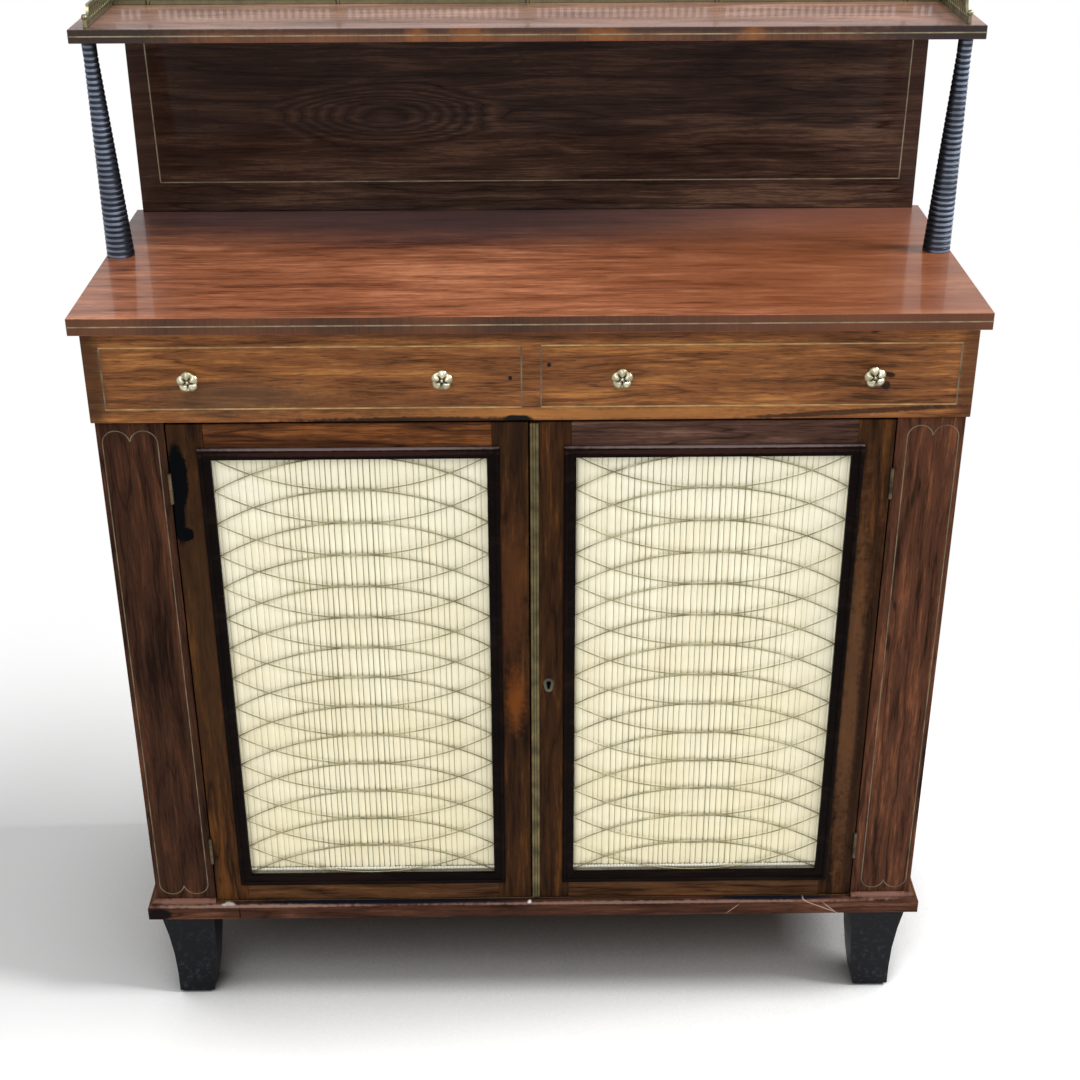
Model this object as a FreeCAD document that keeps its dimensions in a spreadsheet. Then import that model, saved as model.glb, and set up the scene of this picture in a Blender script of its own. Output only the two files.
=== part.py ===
import FreeCAD, Part
import math
import os
from types import SimpleNamespace

import Sketcher

# Chiffonier: a cupboard with two brass-latticed doors below a full-width frieze drawer, and above its
# top a shelf with a pierced brass gallery, carried by two ring-turned columns and a back panel.
# Millimetres. X runs across the front, -Y faces the room, +Z is up, and the floor is Z = 0.

os.makedirs("parts", exist_ok=True)
doc = FreeCAD.newDocument("chiffonier")
Vector = FreeCAD.Vector

# ---------------------------------------------------------------- driving sizes: name, value, meaning
DRIVING = (
    ("table_height", "883", "floor to the upper face of the main top"),
    ("arris", "0.5", "small bevel along the edges of the boards"),
    ("top_width", "920", "main top"),
    ("top_depth", "370", "main top"),
    ("top_thick", "18", "main top"),
    ("top_overhang", "22", "main top in front of the pilasters"),
    ("top_back_overhang", "4", "main top behind the case"),
    ("top_side_overhang", "10", "main top past the case sides"),
    ("side_thick", "18", "case side"),
    ("back_thick", "8", "case back"),
    ("back_inset", "4", "case back in from the rear edges of the sides"),
    ("pilaster_width", "70.5", "pilaster face"),
    ("pilaster_thick", "22", "pilaster, front to back"),
    ("foot_height", "120", "floor to the underside of the case"),
    ("foot_head_inset", "3", "foot head in from the corner of the case"),
    ("foot_shoulder_inset", "9.5", "the same at three quarters of its height"),
    ("foot_waist_inset", "13.5", "the same at half its height"),
    ("foot_ankle_inset", "15", "the same at a quarter of its height"),
    ("foot_toe_inset", "15", "the same at the toe"),
    ("foot_head_width", "63", "foot where it meets the case"),
    ("foot_shoulder_width", "56", "foot at three quarters of its height"),
    ("foot_waist_width", "50.5", "foot at half its height"),
    ("foot_ankle_width", "46", "foot at a quarter of its height"),
    ("foot_toe_width", "42", "foot on the floor"),
    ("foot_front_out", "3", "front feet in front of the pilaster faces"),
    ("foot_toe_bevel", "4", "bevel round the toe"),
    ("base_thick", "19", "bottom board, and the flat and lower round of the plinth"),
    ("plinth_out", "10", "plinth proud of the case"),
    ("plinth_bead", "4", "radius of the plinth's lower round"),
    ("plinth_step", "0.5", "flat between the two rounds"),
    ("plinth_ovolo", "5", "radius of the upper round, at the pilasters and sides"),
    ("frieze_height", "102", "main top down to the foot of the drawer front"),
    ("frieze_proud", "4", "drawer front in front of the pilasters"),
    ("frieze_side_proud", "3", "drawer front past the case sides"),
    ("front_stop_gap", "0.4", "shut drawer front to the case sides"),
    ("drawer_gap", "1", "air above and below the drawer front"),
    ("drawer_run_gap", "0.3", "drawer sides above the dust board"),
    ("drawer_side_gap", "1", "drawer sides to the case sides"),
    ("drawer_end_gap", "14.4", "shut drawer to the case back"),
    ("drawer_side_thick", "10", "drawer side"),
    ("drawer_side_height", "78", "drawer side"),
    ("drawer_back_thick", "10", "drawer back"),
    ("drawer_bottom_thick", "6", "drawer bottom"),
    ("drawer_bottom_lift", "8", "groove above the lower edge of the drawer side"),
    ("groove_depth", "4", "groove that holds the drawer bottom"),
    ("groove_fit", "0.1", "air in the groove"),
    ("dust_thick", "16", "board under the drawer"),
    ("case_shelf_height", "300", "case bottom to the underside of the inner shelf"),
    ("case_shelf_thick", "14", "inner shelf"),
    ("case_shelf_setback", "24", "inner shelf behind the doors"),
    ("case_shelf_gap", "0.5", "inner shelf to the case sides"),
    ("bearer_width", "12", "strip under the inner shelf"),
    ("bearer_height", "16", "strip under the inner shelf"),
    ("bearer_end_gap", "15", "strip in from the shelf's front and the case back"),
    ("door_thick", "21.5", "door frame"),
    ("door_gap", "1.5", "air beside and below a shut door"),
    ("door_head_gap", "3.5", "air between the doors and the drawer front"),
    ("meeting_gap", "1.6", "air between the two doors"),
    ("meeting_offset", "2.5", "meeting line to the left of the centre"),
    ("stile_width", "38", "door stile"),
    ("top_rail_height", "35", "door top rail"),
    ("bottom_rail_height", "31.5", "door bottom rail"),
    ("moulding_width", "13", "moulding round the door opening"),
    ("moulding_overhang", "5.5", "moulding past the frame's inner edge"),
    ("moulding_out", "5", "moulding proud of the door"),
    ("moulding_lip", "1.5", "moulding's inner edge, in front of the door face"),
    ("moulding_tongue", "3", "moulding into the door opening"),
    ("moulding_fit", "0.2", "moulding's tongue to the frame"),
    ("wire_radius", "0.65", "lattice wire"),
    ("wire_gap", "0.15", "between the tongue, the two layers of wire and the silk"),
    ("lattice_rows", "14", "arches in each layer of wire"),
    ("silk_thick", "3", "pleated silk with its folds"),
    ("silk_clear", "0.3", "silk to the wood round it"),
    ("batten_width", "10", "strip that holds the silk"),
    ("batten_thick", "6", "strip that holds the silk"),
    ("strip_width", "9", "brass strip on the right door's meeting edge"),
    ("strip_thick", "1.2", "brass strip under its reeds"),
    ("strip_end_gap", "1", "brass strip short of the door's ends"),
    ("reed_radius", "2", "the three reeds along the brass strip"),
    ("keyhole_height", "442", "floor to the keyhole"),
    ("keyhole_inset", "19.5", "keyhole in from the door's free edge"),
    ("keyhole_radius", "2.4", "round part of the keyhole"),
    ("keyhole_slot", "2.6", "width of the keyhole's slot"),
    ("keyhole_drop", "8", "length of the keyhole's slot"),
    ("escutcheon_width", "12.5", "brass plate round the keyhole"),
    ("escutcheon_height", "23", "brass plate round the keyhole"),
    ("escutcheon_thick", "1", "brass plate round the keyhole"),
    ("lock_width", "30", "lock case, in from the door's edge"),
    ("lock_height", "62", "lock case"),
    ("lock_thick", "11", "lock case"),
    ("lock_wall", "1.5", "lock case"),
    ("bolt_thick", "5", "lock bolt, front to back"),
    ("bolt_height", "14", "lock bolt"),
    ("bolt_length", "20", "lock bolt"),
    ("bolt_throw", "7", "how far the bolt comes out"),
    ("bolt_fit", "0.2", "air round the bolt"),
    ("bolt_socket_gap", "1", "air round the thrown bolt in the left door"),
    ("hinge_length", "35", "hinge knuckles"),
    ("hinge_inset", "73", "door end to the middle of its hinge"),
    ("hinge_leaf_width", "17", "hinge leaf from its pin"),
    ("hinge_leaf_thick", "1.2", "hinge leaf"),
    ("hinge_axis_out", "1.2", "hinge pin in front of the pilaster face"),
    ("knuckle_radius", "2", "hinge knuckle"),
    ("pin_radius", "1", "hinge pin"),
    ("pin_fit", "0.05", "air round the pin"),
    ("hinge_play", "0.3", "between knuckles, and round them"),
    ("column_height", "227", "main top to the underside of the upper shelf"),
    ("column_inset", "15", "foot of the column axis in from the end of the main top"),
    ("column_setback", "14", "head of the column axis behind the front of the upper shelf"),
    ("column_foot_radius", "15", "column"),
    ("column_head_radius", "7.6", "column"),
    ("column_splay", "9", "column head further out than its foot"),
    ("column_rake", "5", "column head further back than its foot"),
    ("column_end_gap", "0.1", "column to the top and to the shelf"),
    ("column_neck", "16", "plain part at the head"),
    ("ring_count", "38", "rings turned on a column"),
    ("ring_round", "0.3", "how far the middle of a ring stands out from its edges"),
    ("groove_sink", "0.9", "depth of the grooves between rings"),
    ("groove_width", "1.3", "width of the grooves between rings"),
    ("dowel_radius", "3.5", "pin at each end of a column"),
    ("dowel_length", "8", "pin at each end of a column"),
    ("dowel_fit", "0.2", "air round the pins"),
    ("splat_inset", "9", "back panel in from the ends of the main top"),
    ("splat_thick", "10", "back panel between top and shelf"),
    ("shelf_past_top", "11.5", "upper shelf past the ends of the main top"),
    ("shelf_depth", "177", "upper shelf"),
    ("shelf_thick", "14", "upper shelf"),
    ("gallery_end_inset", "17.5", "side galleries in from the shelf's ends"),
    ("gallery_back_inset", "40", "back gallery in from the shelf's rear edge"),
    ("gallery_front_inset", "8.5", "gallery behind the shelf's front"),
    ("gallery_height", "21", "gallery rails and pierced plate"),
    ("gallery_rail_height", "4", "lower rail"),
    ("gallery_rail_depth", "4", "lower rail"),
    ("gallery_cap_height", "3", "upper rail"),
    ("gallery_plate_thick", "1.6", "pierced plate"),
    ("gallery_sweep", "15", "length over which a side gallery comes down"),
    ("gallery_post_gap", "0.1", "gallery lengths to their posts"),
    ("slot_pitch", "8.3", "pierced slots"),
    ("slot_width", "4.4", "pierced slots"),
    ("slot_margin", "1.6", "slots to the rails"),
    ("post_radius", "2.4", "gallery post"),
    ("post_end_gap", "40", "corner posts to the outer posts of the back gallery"),
    ("post_bays", "4", "bays between the outer posts"),
    ("finial_radius", "3.2", "ball on a gallery post"),
    ("finial_rise", "4", "middle of the ball above the gallery"),
    ("front_post_height", "7", "short posts at the front ends"),
    ("knob_out", "20", "knob in front of the drawer front"),
    ("knob_radius", "12", "knob"),
    ("knob_thick", "6", "flower of the knob at its rim"),
    ("knob_neck_radius", "4.5", "knob neck"),
    ("knob_petals", "5", "petals of the flower"),
    ("knob_inner", "91", "centre line to the inner knobs"),
    ("knob_outer", "347", "centre line to the outer knobs"),
    ("knob_bolt_radius", "2.5", "screw of the knob"),
    ("knob_bolt_fit", "0.1", "air round the screw"),
    ("nut_radius", "6", "nut behind the drawer front"),
    ("nut_thick", "4", "nut behind the drawer front"),
)


class Length:
    """A size that holds its number and the expression that ties it to the sheets."""

    def __init__(self, value, text):
        self.value = value
        self.text = text

    def __add__(self, other):
        other = length(other)
        return Length(self.value + other.value, f"({self.text} + {other.text})")

    def __sub__(self, other):
        other = length(other)
        return Length(self.value - other.value, f"({self.text} - {other.text})")

    def __mul__(self, factor):
        factor = length(factor)
        return Length(self.value * factor.value, f"({self.text} * {factor.text})")

    def __truediv__(self, divisor):
        divisor = length(divisor)
        return Length(self.value / divisor.value, f"({self.text} / {divisor.text})")

    def __radd__(self, other):
        return length(other) + self

    def __rsub__(self, other):
        return length(other) - self

    def __rmul__(self, factor):
        return length(factor) * self

    def __neg__(self):
        return Length(-self.value, f"(0 - {self.text})")


def length(item):
    """A Length as it is, or a plain number made into one."""
    return item if isinstance(item, Length) else Length(item, repr(item))


def fill_sheet(name, rows):
    """A spreadsheet with a meaning, a cell and an alias on each row, and its names as Lengths."""
    sheet = doc.addObject("Spreadsheet::Sheet", name)
    names = SimpleNamespace()
    for row, (alias, value, meaning) in enumerate(rows, start=1):
        sheet.set(f"A{row}", meaning)
        sheet.set(f"B{row}", value)
        sheet.setAlias(f"B{row}", alias)
        setattr(names, alias, Length(float(value), f"{name}.{alias}"))
    return names


S = fill_sheet("Sizes", DRIVING)

# ---------------------------------------------------------------- places worked out from the sizes
places = doc.addObject("Spreadsheet::Sheet", "Places")
P = SimpleNamespace()


def place(alias, formula, meaning):
    """Add one worked-out place to the Places sheet and to the names in P."""
    row = len(vars(P)) + 1
    places.set(f"A{row}", meaning)
    places.set(f"B{row}", f"={formula.text}")
    places.setAlias(f"B{row}", alias)
    setattr(P, alias, Length(formula.value, f"Places.{alias}"))


front_out = S.frieze_proud + S.knob_out
case_room = S.top_depth - S.top_overhang
place("face_y", (front_out - case_room) / 2, "pilaster faces, with the knobs and the back edge evened up")
place("top_front", P.face_y - S.top_overhang, "front edge of the main top")
place("top_back", P.top_front + S.top_depth, "rear edge of the main top")
place("case_back", P.top_back - S.top_back_overhang, "rear edges of the case sides")
place("back_face", P.case_back - S.back_inset - S.back_thick, "inner face of the case back")
place("base_top", S.foot_height + S.base_thick, "upper face of the case bottom")
place("top_under", S.table_height - S.top_thick, "underside of the main top")
place("frieze_foot", P.top_under - S.frieze_height, "lower edge of the drawer front")
place("dust_top", P.frieze_foot - S.drawer_gap, "upper face of the dust board")
place("top_half", S.top_width / 2, "centre line to the ends of the main top")
place("body_half", P.top_half - S.top_side_overhang, "centre line to the outside of the case")
place("inner_half", P.body_half - S.side_thick, "centre line to the case sides")
place("doorway_half", P.body_half - S.pilaster_width, "centre line to the pilasters")
place("door_foot", P.base_top + S.door_gap, "lower edges of the doors")
place("door_head", P.frieze_foot - S.door_head_gap, "upper edges of the doors")
place("door_outer", P.doorway_half - S.door_gap, "centre line to the hinged edges")
place("meeting_inner", S.stile_width + S.meeting_offset + S.meeting_gap / 2, "centre line to the openings")
place("opening_outer", P.door_outer - S.stile_width, "centre line to the far side of the openings")
place("opening_foot", P.door_foot + S.bottom_rail_height, "lower edges of the door openings")
place("opening_head", P.door_head - S.top_rail_height, "upper edges of the door openings")
place("wire_front", P.face_y + S.moulding_tongue + S.wire_gap + S.wire_radius, "front layer of wire")
place("wire_back", P.wire_front + 2 * S.wire_radius + S.wire_gap, "rear layer of wire")
place("silk_face", P.wire_back + S.wire_radius + S.wire_gap, "front of the silk")
place("batten_face", P.silk_face + S.silk_thick + S.silk_clear, "front of the battens")
place("hinge_y", P.face_y - S.hinge_axis_out, "hinge pins")
place("hinge_x", P.doorway_half - S.door_gap / 2, "centre line to the hinge pins")
place("lower_hinge", P.door_foot + S.hinge_inset, "middle of the lower hinges")
place("upper_hinge", P.door_head - S.hinge_inset, "middle of the upper hinges")
place("right_edge", S.meeting_gap / 2 - S.meeting_offset, "free edge of the right door")
place("left_edge", -(S.meeting_gap / 2) - S.meeting_offset, "free edge of the left door")
place("lock_face", P.face_y + S.door_thick - S.lock_thick, "front of the lock case")
place("bolt_face", P.lock_face + (S.lock_thick - S.bolt_thick) / 2, "front of the bolt")
place("bolt_foot", S.keyhole_height + S.keyhole_radius + S.lock_wall, "lower edge of the bolt")
place("keyhole_x", P.right_edge + S.keyhole_inset, "keyhole from the centre line")
place("column_x", P.top_half - S.column_inset, "centre line to the feet of the column axes")
place("shelf_under", S.table_height + S.column_height, "underside of the upper shelf")
place("shelf_top", P.shelf_under + S.shelf_thick, "upper face of the upper shelf")
place("shelf_front", P.top_back - S.shelf_depth, "front edge of the upper shelf")
place("shelf_half", P.top_half + S.shelf_past_top, "centre line to the ends of the upper shelf")
place("column_head_x", P.column_x + S.column_splay, "centre line to the heads of the column axes")
place("column_head_y", P.shelf_front + S.column_setback, "heads of the column axes")
place("column_y", P.column_head_y - S.column_rake, "feet of the column axes")
place("gallery_x", P.shelf_half - S.gallery_end_inset, "centre line to the side galleries")
place("gallery_y", P.top_back - S.gallery_back_inset, "back gallery")
place("gallery_front", P.shelf_front + S.gallery_front_inset, "front ends of the side galleries")
place("frieze_back", P.face_y + S.pilaster_thick - S.front_stop_gap, "rear face of the drawer front")
place("drawer_half", P.inner_half - S.drawer_side_gap, "centre line to the outside of the drawer")
place("drawer_foot", P.dust_top + S.drawer_run_gap, "lower edges of the drawer sides")
place("drawer_back", P.back_face - S.drawer_end_gap, "rear of the drawer")
place("drawer_floor", P.drawer_foot + S.drawer_bottom_lift, "underside of the drawer bottom")
place("knob_z", (P.frieze_foot + P.top_under) / 2, "knob axes")
doc.recompute()

SIDES = (("left", -1), ("right", 1))
pieces = []


# ---------------------------------------------------------------- helpers
def bind(feature, **formulas):
    """Tie properties of a feature to the sheets."""
    for name, formula in formulas.items():
        feature.setExpression(name, length(formula).text)


def put(feature, x, y, z):
    """Tie the origin of a feature to a point."""
    for axis, formula in zip("xyz", (x, y, z)):
        feature.setExpression(f"Placement.Base.{axis}", length(formula).text)


def across(side, inner, outer):
    """Low and high X of a span given by its distances from the centre line."""
    return (inner, outer) if side > 0 else (-outer, -inner)


def keep(feature, name):
    """Name a sub-part and add it to the pieces that are written out."""
    feature.Label = name
    pieces.append(feature)
    return feature


def new_body(name):
    return keep(doc.addObject("PartDesign::Body", name), name)


def body_box(body, kind, low, high):
    """An additive or subtractive box between two corners."""
    box = body.newObject(f"PartDesign::{kind}Box", f"{body.Name}_box")
    spans = [length(top) - length(bottom) for bottom, top in zip(low, high)]
    bind(box, Length=spans[0], Width=spans[1], Height=spans[2])
    put(box, *low)
    return box


def bevel_all(body, feature, size):
    """Take a small bevel off every edge of a feature."""
    bevel = body.newObject("PartDesign::Chamfer", f"{body.Name}_bevel")
    bevel.Base = (feature, [""])
    bevel.UseAllEdges = True
    bind(bevel, Size=size)
    return bevel


def board(name, low, high, arris=S.arris):
    """A plain board between two corners, with bevelled edges."""
    body = new_body(name)
    box = body_box(body, "Additive", low, high)
    bevel_all(body, box, arris)
    return body


def bore(body, radius, deep, x, y, z, along="z"):
    """Drill a round hole from a point, up (z) or towards the back (y)."""
    hole = body.newObject("PartDesign::SubtractiveCylinder", f"{body.Name}_bore")
    bind(hole, Radius=radius, Height=deep)
    if along == "y":
        hole.Placement = FreeCAD.Placement(Vector(), FreeCAD.Rotation(Vector(1, 0, 0), -90))
    put(hole, x, y, z)
    return hole


def new_sketch(body, role, name="outline"):
    """An empty sketch on one of a body's own origin planes."""
    sketch = body.newObject("Sketcher::SketchObject", f"{body.Name}_{name}")
    plane = next(item for item in body.Origin.OriginFeatures if item.Role == role)
    sketch.AttachmentSupport = (plane, "")
    sketch.MapMode = "FlatFace"
    return sketch


def add_loop(sketch, corners, rounds=None):
    """A closed loop through corners; rounds gives the radius of the edge that leaves a corner."""
    rounds = rounds or {}
    points = [Vector(length(x).value, length(y).value, 0) for x, y in corners]
    edges = []
    for index, start in enumerate(points):
        end = points[(index + 1) % len(points)]
        shape = Part.LineSegment(start, end)
        if index in rounds:
            shape = round_edge(start, end, length(rounds[index]).value)
        edges.append(sketch.addGeometry(shape))
    for edge, after in zip(edges, edges[1:] + edges[:1]):
        sketch.addConstraint(Sketcher.Constraint("Coincident", edge, 2, after, 1))
    for edge, corner in zip(edges, corners):
        for kind, formula in zip(("DistanceX", "DistanceY"), corner):
            formula = length(formula)
            row = sketch.addConstraint(Sketcher.Constraint(kind, -1, 1, edge, 1, formula.value))
            sketch.setExpression(f"Constraints[{row}]", formula.text)
    for index, radius in rounds.items():
        row = sketch.addConstraint(Sketcher.Constraint("Radius", edges[index], radius.value))
        sketch.setExpression(f"Constraints[{row}]", radius.text)
    return sketch


def outline(body, role, corners, rounds=None):
    return add_loop(new_sketch(body, role), corners, rounds)


def round_edge(start, end, radius):
    """An arc from start to end that bulges to the right of the way between them."""
    chord = end - start
    height = math.sqrt(max(radius ** 2 - (chord.Length / 2) ** 2, 0))
    to_left = Vector(-chord.y, chord.x, 0).normalize()
    centre = (start + end) / 2 + to_left * height
    circle = Part.Circle(centre, Vector(0, 0, 1), radius)
    return Part.ArcOfCircle(circle, circle.parameter(start), circle.parameter(end))


def pad(body, sketch, deep, backwards=False):
    feature = body.newObject("PartDesign::Pad", f"{body.Name}_pad")
    feature.Profile = sketch
    feature.Reversed = backwards
    bind(feature, Length=deep)
    return feature


def pocket_up(body, sketch, high):
    """Cut a sketch on the floor plane upwards through a body."""
    feature = body.newObject("PartDesign::Pocket", f"{body.Name}_pocket")
    feature.Profile = sketch
    feature.Reversed = True
    bind(feature, Length=high)
    return feature


def solid_box(low, high):
    """A plain box between two corners, for compounds and booleans."""
    box = doc.addObject("Part::Box", "block")
    spans = [length(top) - length(bottom) for bottom, top in zip(low, high)]
    bind(box, Length=spans[0], Width=spans[1], Height=spans[2])
    put(box, *low)
    return box


def solid_rod(radius, high, x, y, z):
    """An upright cylinder on a point, for compounds and booleans."""
    rod = doc.addObject("Part::Cylinder", "rod")
    bind(rod, Radius=radius, Height=high)
    put(rod, x, y, z)
    return rod


def joined(solids):
    fuse = doc.addObject("Part::MultiFuse", "joined")
    fuse.Shapes = solids
    return fuse


def without(base, tool):
    cut = doc.addObject("Part::Cut", "cut")
    cut.Base = base
    cut.Tool = tool
    return cut


def group(name, solids):
    """Several alike solids as one sub-part."""
    compound = doc.addObject("Part::Compound", name)
    compound.Links = solids
    return keep(compound, name)


def formed(name, shape, position=Vector(), turn=FreeCAD.Rotation()):
    """A sub-part whose shape is worked out here, from the sheet's values."""
    feature = doc.addObject("Part::Feature", name)
    feature.Shape = shape
    feature.Placement = FreeCAD.Placement(position, turn)
    return keep(feature, name)


# ---------------------------------------------------------------- case
def case():
    half = P.body_half
    board("case_bottom", (-half, P.face_y, S.foot_height), (half, P.case_back, P.base_top))
    board("case_back", (-P.inner_half, P.back_face, P.base_top),
          (P.inner_half, P.back_face + S.back_thick, P.top_under))
    board("dust_board", (-P.inner_half, P.face_y + S.pilaster_thick, P.dust_top - S.dust_thick),
          (P.inner_half, P.back_face, P.dust_top))
    for name, side in SIDES:
        x = across(side, P.inner_half, half)
        board(f"{name}_side", (x[0], P.face_y + S.pilaster_thick, P.base_top),
              (x[1], P.case_back, P.top_under))
        pilaster(name, side)


def pilaster(name, side):
    """A pilaster, let in at its inner edge for two hinge leaves and their knuckles."""
    x = across(side, P.doorway_half, P.body_half)
    body = board(f"{name}_pilaster", (x[0], P.face_y, P.base_top),
                 (x[1], P.face_y + S.pilaster_thick, P.dust_top))
    for middle in (P.lower_hinge, P.upper_hinge):
        let_in_hinge(body, side, middle, P.doorway_half, 1)


def let_in_hinge(body, side, middle, edge, outwards):
    """Cut a hinge's bed in the edge of a board that lies outwards or inwards of its pin."""
    half = S.hinge_length / 2
    clear = S.knuckle_radius + S.hinge_play
    leaf_bed = (edge + outwards * S.hinge_leaf_thick, P.hinge_y + S.hinge_leaf_width, half)
    knuckle_bed = (P.hinge_x + outwards * clear, P.hinge_y + clear, half + S.hinge_play)
    for far, deep, tall in (leaf_bed, knuckle_bed):
        near = edge - outwards * S.hinge_leaf_thick
        x = across(side, *((near, far) if outwards > 0 else (far, near)))
        body_box(body, "Subtractive", (x[0], P.face_y - S.hinge_leaf_width, middle - tall),
                 (x[1], deep, middle + tall))


def inner_shelf():
    under = P.base_top + S.case_shelf_height
    front = P.face_y + S.door_thick + S.case_shelf_setback
    reach = P.inner_half - S.case_shelf_gap
    board("inner_shelf", (-reach, front, under), (reach, P.back_face, under + S.case_shelf_thick))
    for name, side in SIDES:
        x = across(side, P.inner_half - S.bearer_width, P.inner_half)
        board(f"{name}_shelf_bearer", (x[0], front + S.bearer_end_gap, under - S.bearer_height),
              (x[1], P.back_face - S.bearer_end_gap, under))


def plinth_section(body, role, wall, out):
    """The plinth's section against a wall: flat, lower round, step and upper round."""
    first = P.base_top - S.plinth_bead
    lip = S.plinth_out - S.plinth_bead
    head = P.base_top + S.plinth_ovolo
    reaches = ((0, S.foot_height), (S.plinth_out, S.foot_height), (S.plinth_out, first),
               (lip, P.base_top), (lip - S.plinth_step, P.base_top),
               (lip - S.plinth_step - S.plinth_ovolo, head), (0, head))
    corners = [(wall + out * reach, height) for reach, height in reaches]
    if out > 0:
        return outline(body, role, corners, {2: S.plinth_bead, 4: S.plinth_ovolo})
    return outline(body, role, corners[::-1], {3: S.plinth_bead, 1: S.plinth_ovolo})


def plinth():
    """Front and side lengths of the plinth, mitred at the two front corners."""
    half = P.body_half
    out = S.plinth_out
    end = half + out
    high = P.base_top + out
    front = new_body("plinth_front")
    pad(front, plinth_section(front, "YZ_Plane", P.face_y, -1), 2 * end)
    body_box(front, "Subtractive", (end - P.doorway_half, P.face_y - out, P.base_top),
             (end + P.doorway_half, P.face_y, high))
    mitres = new_sketch(front, "XY_Plane", "mitres")
    add_loop(mitres, ((0, P.face_y - out), (out, P.face_y), (0, P.face_y)))
    add_loop(mitres, ((2 * end, P.face_y - out), (2 * end, P.face_y), (2 * end - out, P.face_y)))
    pocket_up(front, mitres, high)
    put(front, -end, 0, 0)
    for name, side in SIDES:
        body = new_body(f"plinth_{name}")
        section = plinth_section(body, "XZ_Plane", side * half, side)
        pad(body, section, P.case_back - P.face_y + out, backwards=True)
        mitre = new_sketch(body, "XY_Plane", "mitre")
        add_loop(mitre, ((side * half, 0), (side * end, 0), (side * half, out)))
        pocket_up(body, mitre, high)
        put(body, 0, P.face_y - out, 0)


def foot(name, side, front):
    """A sabre-shaped foot, lofted from its bevelled toe to its head."""
    body = new_body(name)
    bevel = S.foot_toe_bevel
    high = S.foot_height
    levels = ((0, S.foot_toe_inset + bevel, S.foot_toe_width - 2 * bevel, bevel),
              (bevel, S.foot_toe_inset, S.foot_toe_width, 0),
              (high / 4, S.foot_ankle_inset, S.foot_ankle_width, 0),
              (high / 2, S.foot_waist_inset, S.foot_waist_width, 0),
              (high * 0.75, S.foot_shoulder_inset, S.foot_shoulder_width, 0),
              (high, S.foot_head_inset, S.foot_head_width, 0))
    sections = []
    for height, inset, width, back in levels:
        outer = P.body_half - inset
        x = across(side, outer - width, outer)
        near = P.face_y - S.foot_front_out + back if front else P.case_back - width - back
        section = outline(body, "XY_Plane", ((x[0], near), (x[1], near),
                                             (x[1], near + width), (x[0], near + width)))
        section.setExpression("AttachmentOffset.Base.z", length(height).text)
        sections.append(section)
    loft = body.newObject("PartDesign::AdditiveLoft", f"{name}_loft")
    loft.Profile = sections[0]
    loft.Sections = sections[1:]
    loft.Ruled = True


# ---------------------------------------------------------------- top, shelf and what carries it
def bored_board(name, low, high, hole_x, hole_y, hole_foot):
    """A board with a hole for a column's pin at each end."""
    body = board(name, low, high)
    for _, side in SIDES:
        bore(body, S.dowel_radius + S.dowel_fit, S.dowel_length + S.dowel_fit,
             side * hole_x, hole_y, hole_foot)


def superstructure():
    bored_board("main_top", (-P.top_half, P.top_front, P.top_under),
                (P.top_half, P.top_back, S.table_height), P.column_x, P.column_y,
                S.table_height - S.dowel_length - S.dowel_fit)
    bored_board("upper_shelf", (-P.shelf_half, P.shelf_front, P.shelf_under),
                (P.shelf_half, P.top_back, P.shelf_top), P.column_head_x, P.column_head_y,
                P.shelf_under)
    half = P.top_half - S.splat_inset
    board("back_panel", (-half, P.top_back - S.splat_thick, S.table_height),
          (half, P.top_back, P.shelf_under))
    for name, side in SIDES:
        column(name, side)


def column(name, side):
    """A column leaning out and back, cut level at both ends, with an upright pin at each end."""
    low = S.table_height.value + S.column_end_gap.value
    high = P.shelf_under.value - S.column_end_gap.value
    foot = Vector(side * P.column_x.value, P.column_y.value, low)
    head = Vector(side * P.column_head_x.value, P.column_head_y.value, high)
    axis = head - foot
    turned = turned_column(axis.Length)
    turned.Placement = FreeCAD.Placement(foot, FreeCAD.Rotation(Vector(0, 0, 1), axis))
    room = S.top_depth.value
    level = Part.makeBox(room, room, high - low, foot - Vector(room / 2, room / 2, 0))
    pin, tail = S.dowel_radius.value, S.dowel_length.value
    pins = [Part.makeCylinder(pin, 2 * tail, point - Vector(0, 0, tail)) for point in (foot, head)]
    formed(f"{name}_column", turned.common(level).fuse(pins).removeSplitter())


def turned_column(high):
    """A tapering column of turned rings with a plain neck, longer than it needs at both ends."""
    neck = S.column_head_radius.value
    sink, rounding = S.groove_sink.value, S.ring_round.value
    lip = S.groove_width.value / 2
    count = round(S.ring_count.value)
    ringed = high - S.column_neck.value
    pitch = ringed / count
    spare = neck

    def out(height, depth):
        """A point on the column's face, or sunk below it."""
        taper = (neck - S.column_foot_radius.value) * height / ringed
        return Vector(S.column_foot_radius.value + taper - depth, 0, height)

    def line(start, end):
        return Part.LineSegment(start, end).toShape()

    last = out(0, rounding)
    edges = [line(Vector(0, 0, -spare), Vector(last.x, 0, -spare)),
             line(Vector(last.x, 0, -spare), last)]
    for ring in range(count):
        foot = ring * pitch
        lower = out(foot + lip, rounding) if ring else last
        upper = out(foot + pitch - lip, rounding)
        groove = out(foot + pitch, sink)
        if ring:
            edges.append(line(last, lower))
        edges.append(Part.Arc(lower, out(foot + pitch / 2, 0), upper).toShape())
        edges.append(line(upper, groove))
        last = groove
    corners = [last, Vector(neck, 0, ringed + lip), Vector(neck, 0, high + spare),
               Vector(0, 0, high + spare), Vector(0, 0, -spare)]
    edges += [line(a, b) for a, b in zip(corners, corners[1:])]
    return Part.Face(Part.Wire(edges)).revolve(Vector(), Vector(0, 0, 1), 360)


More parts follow.
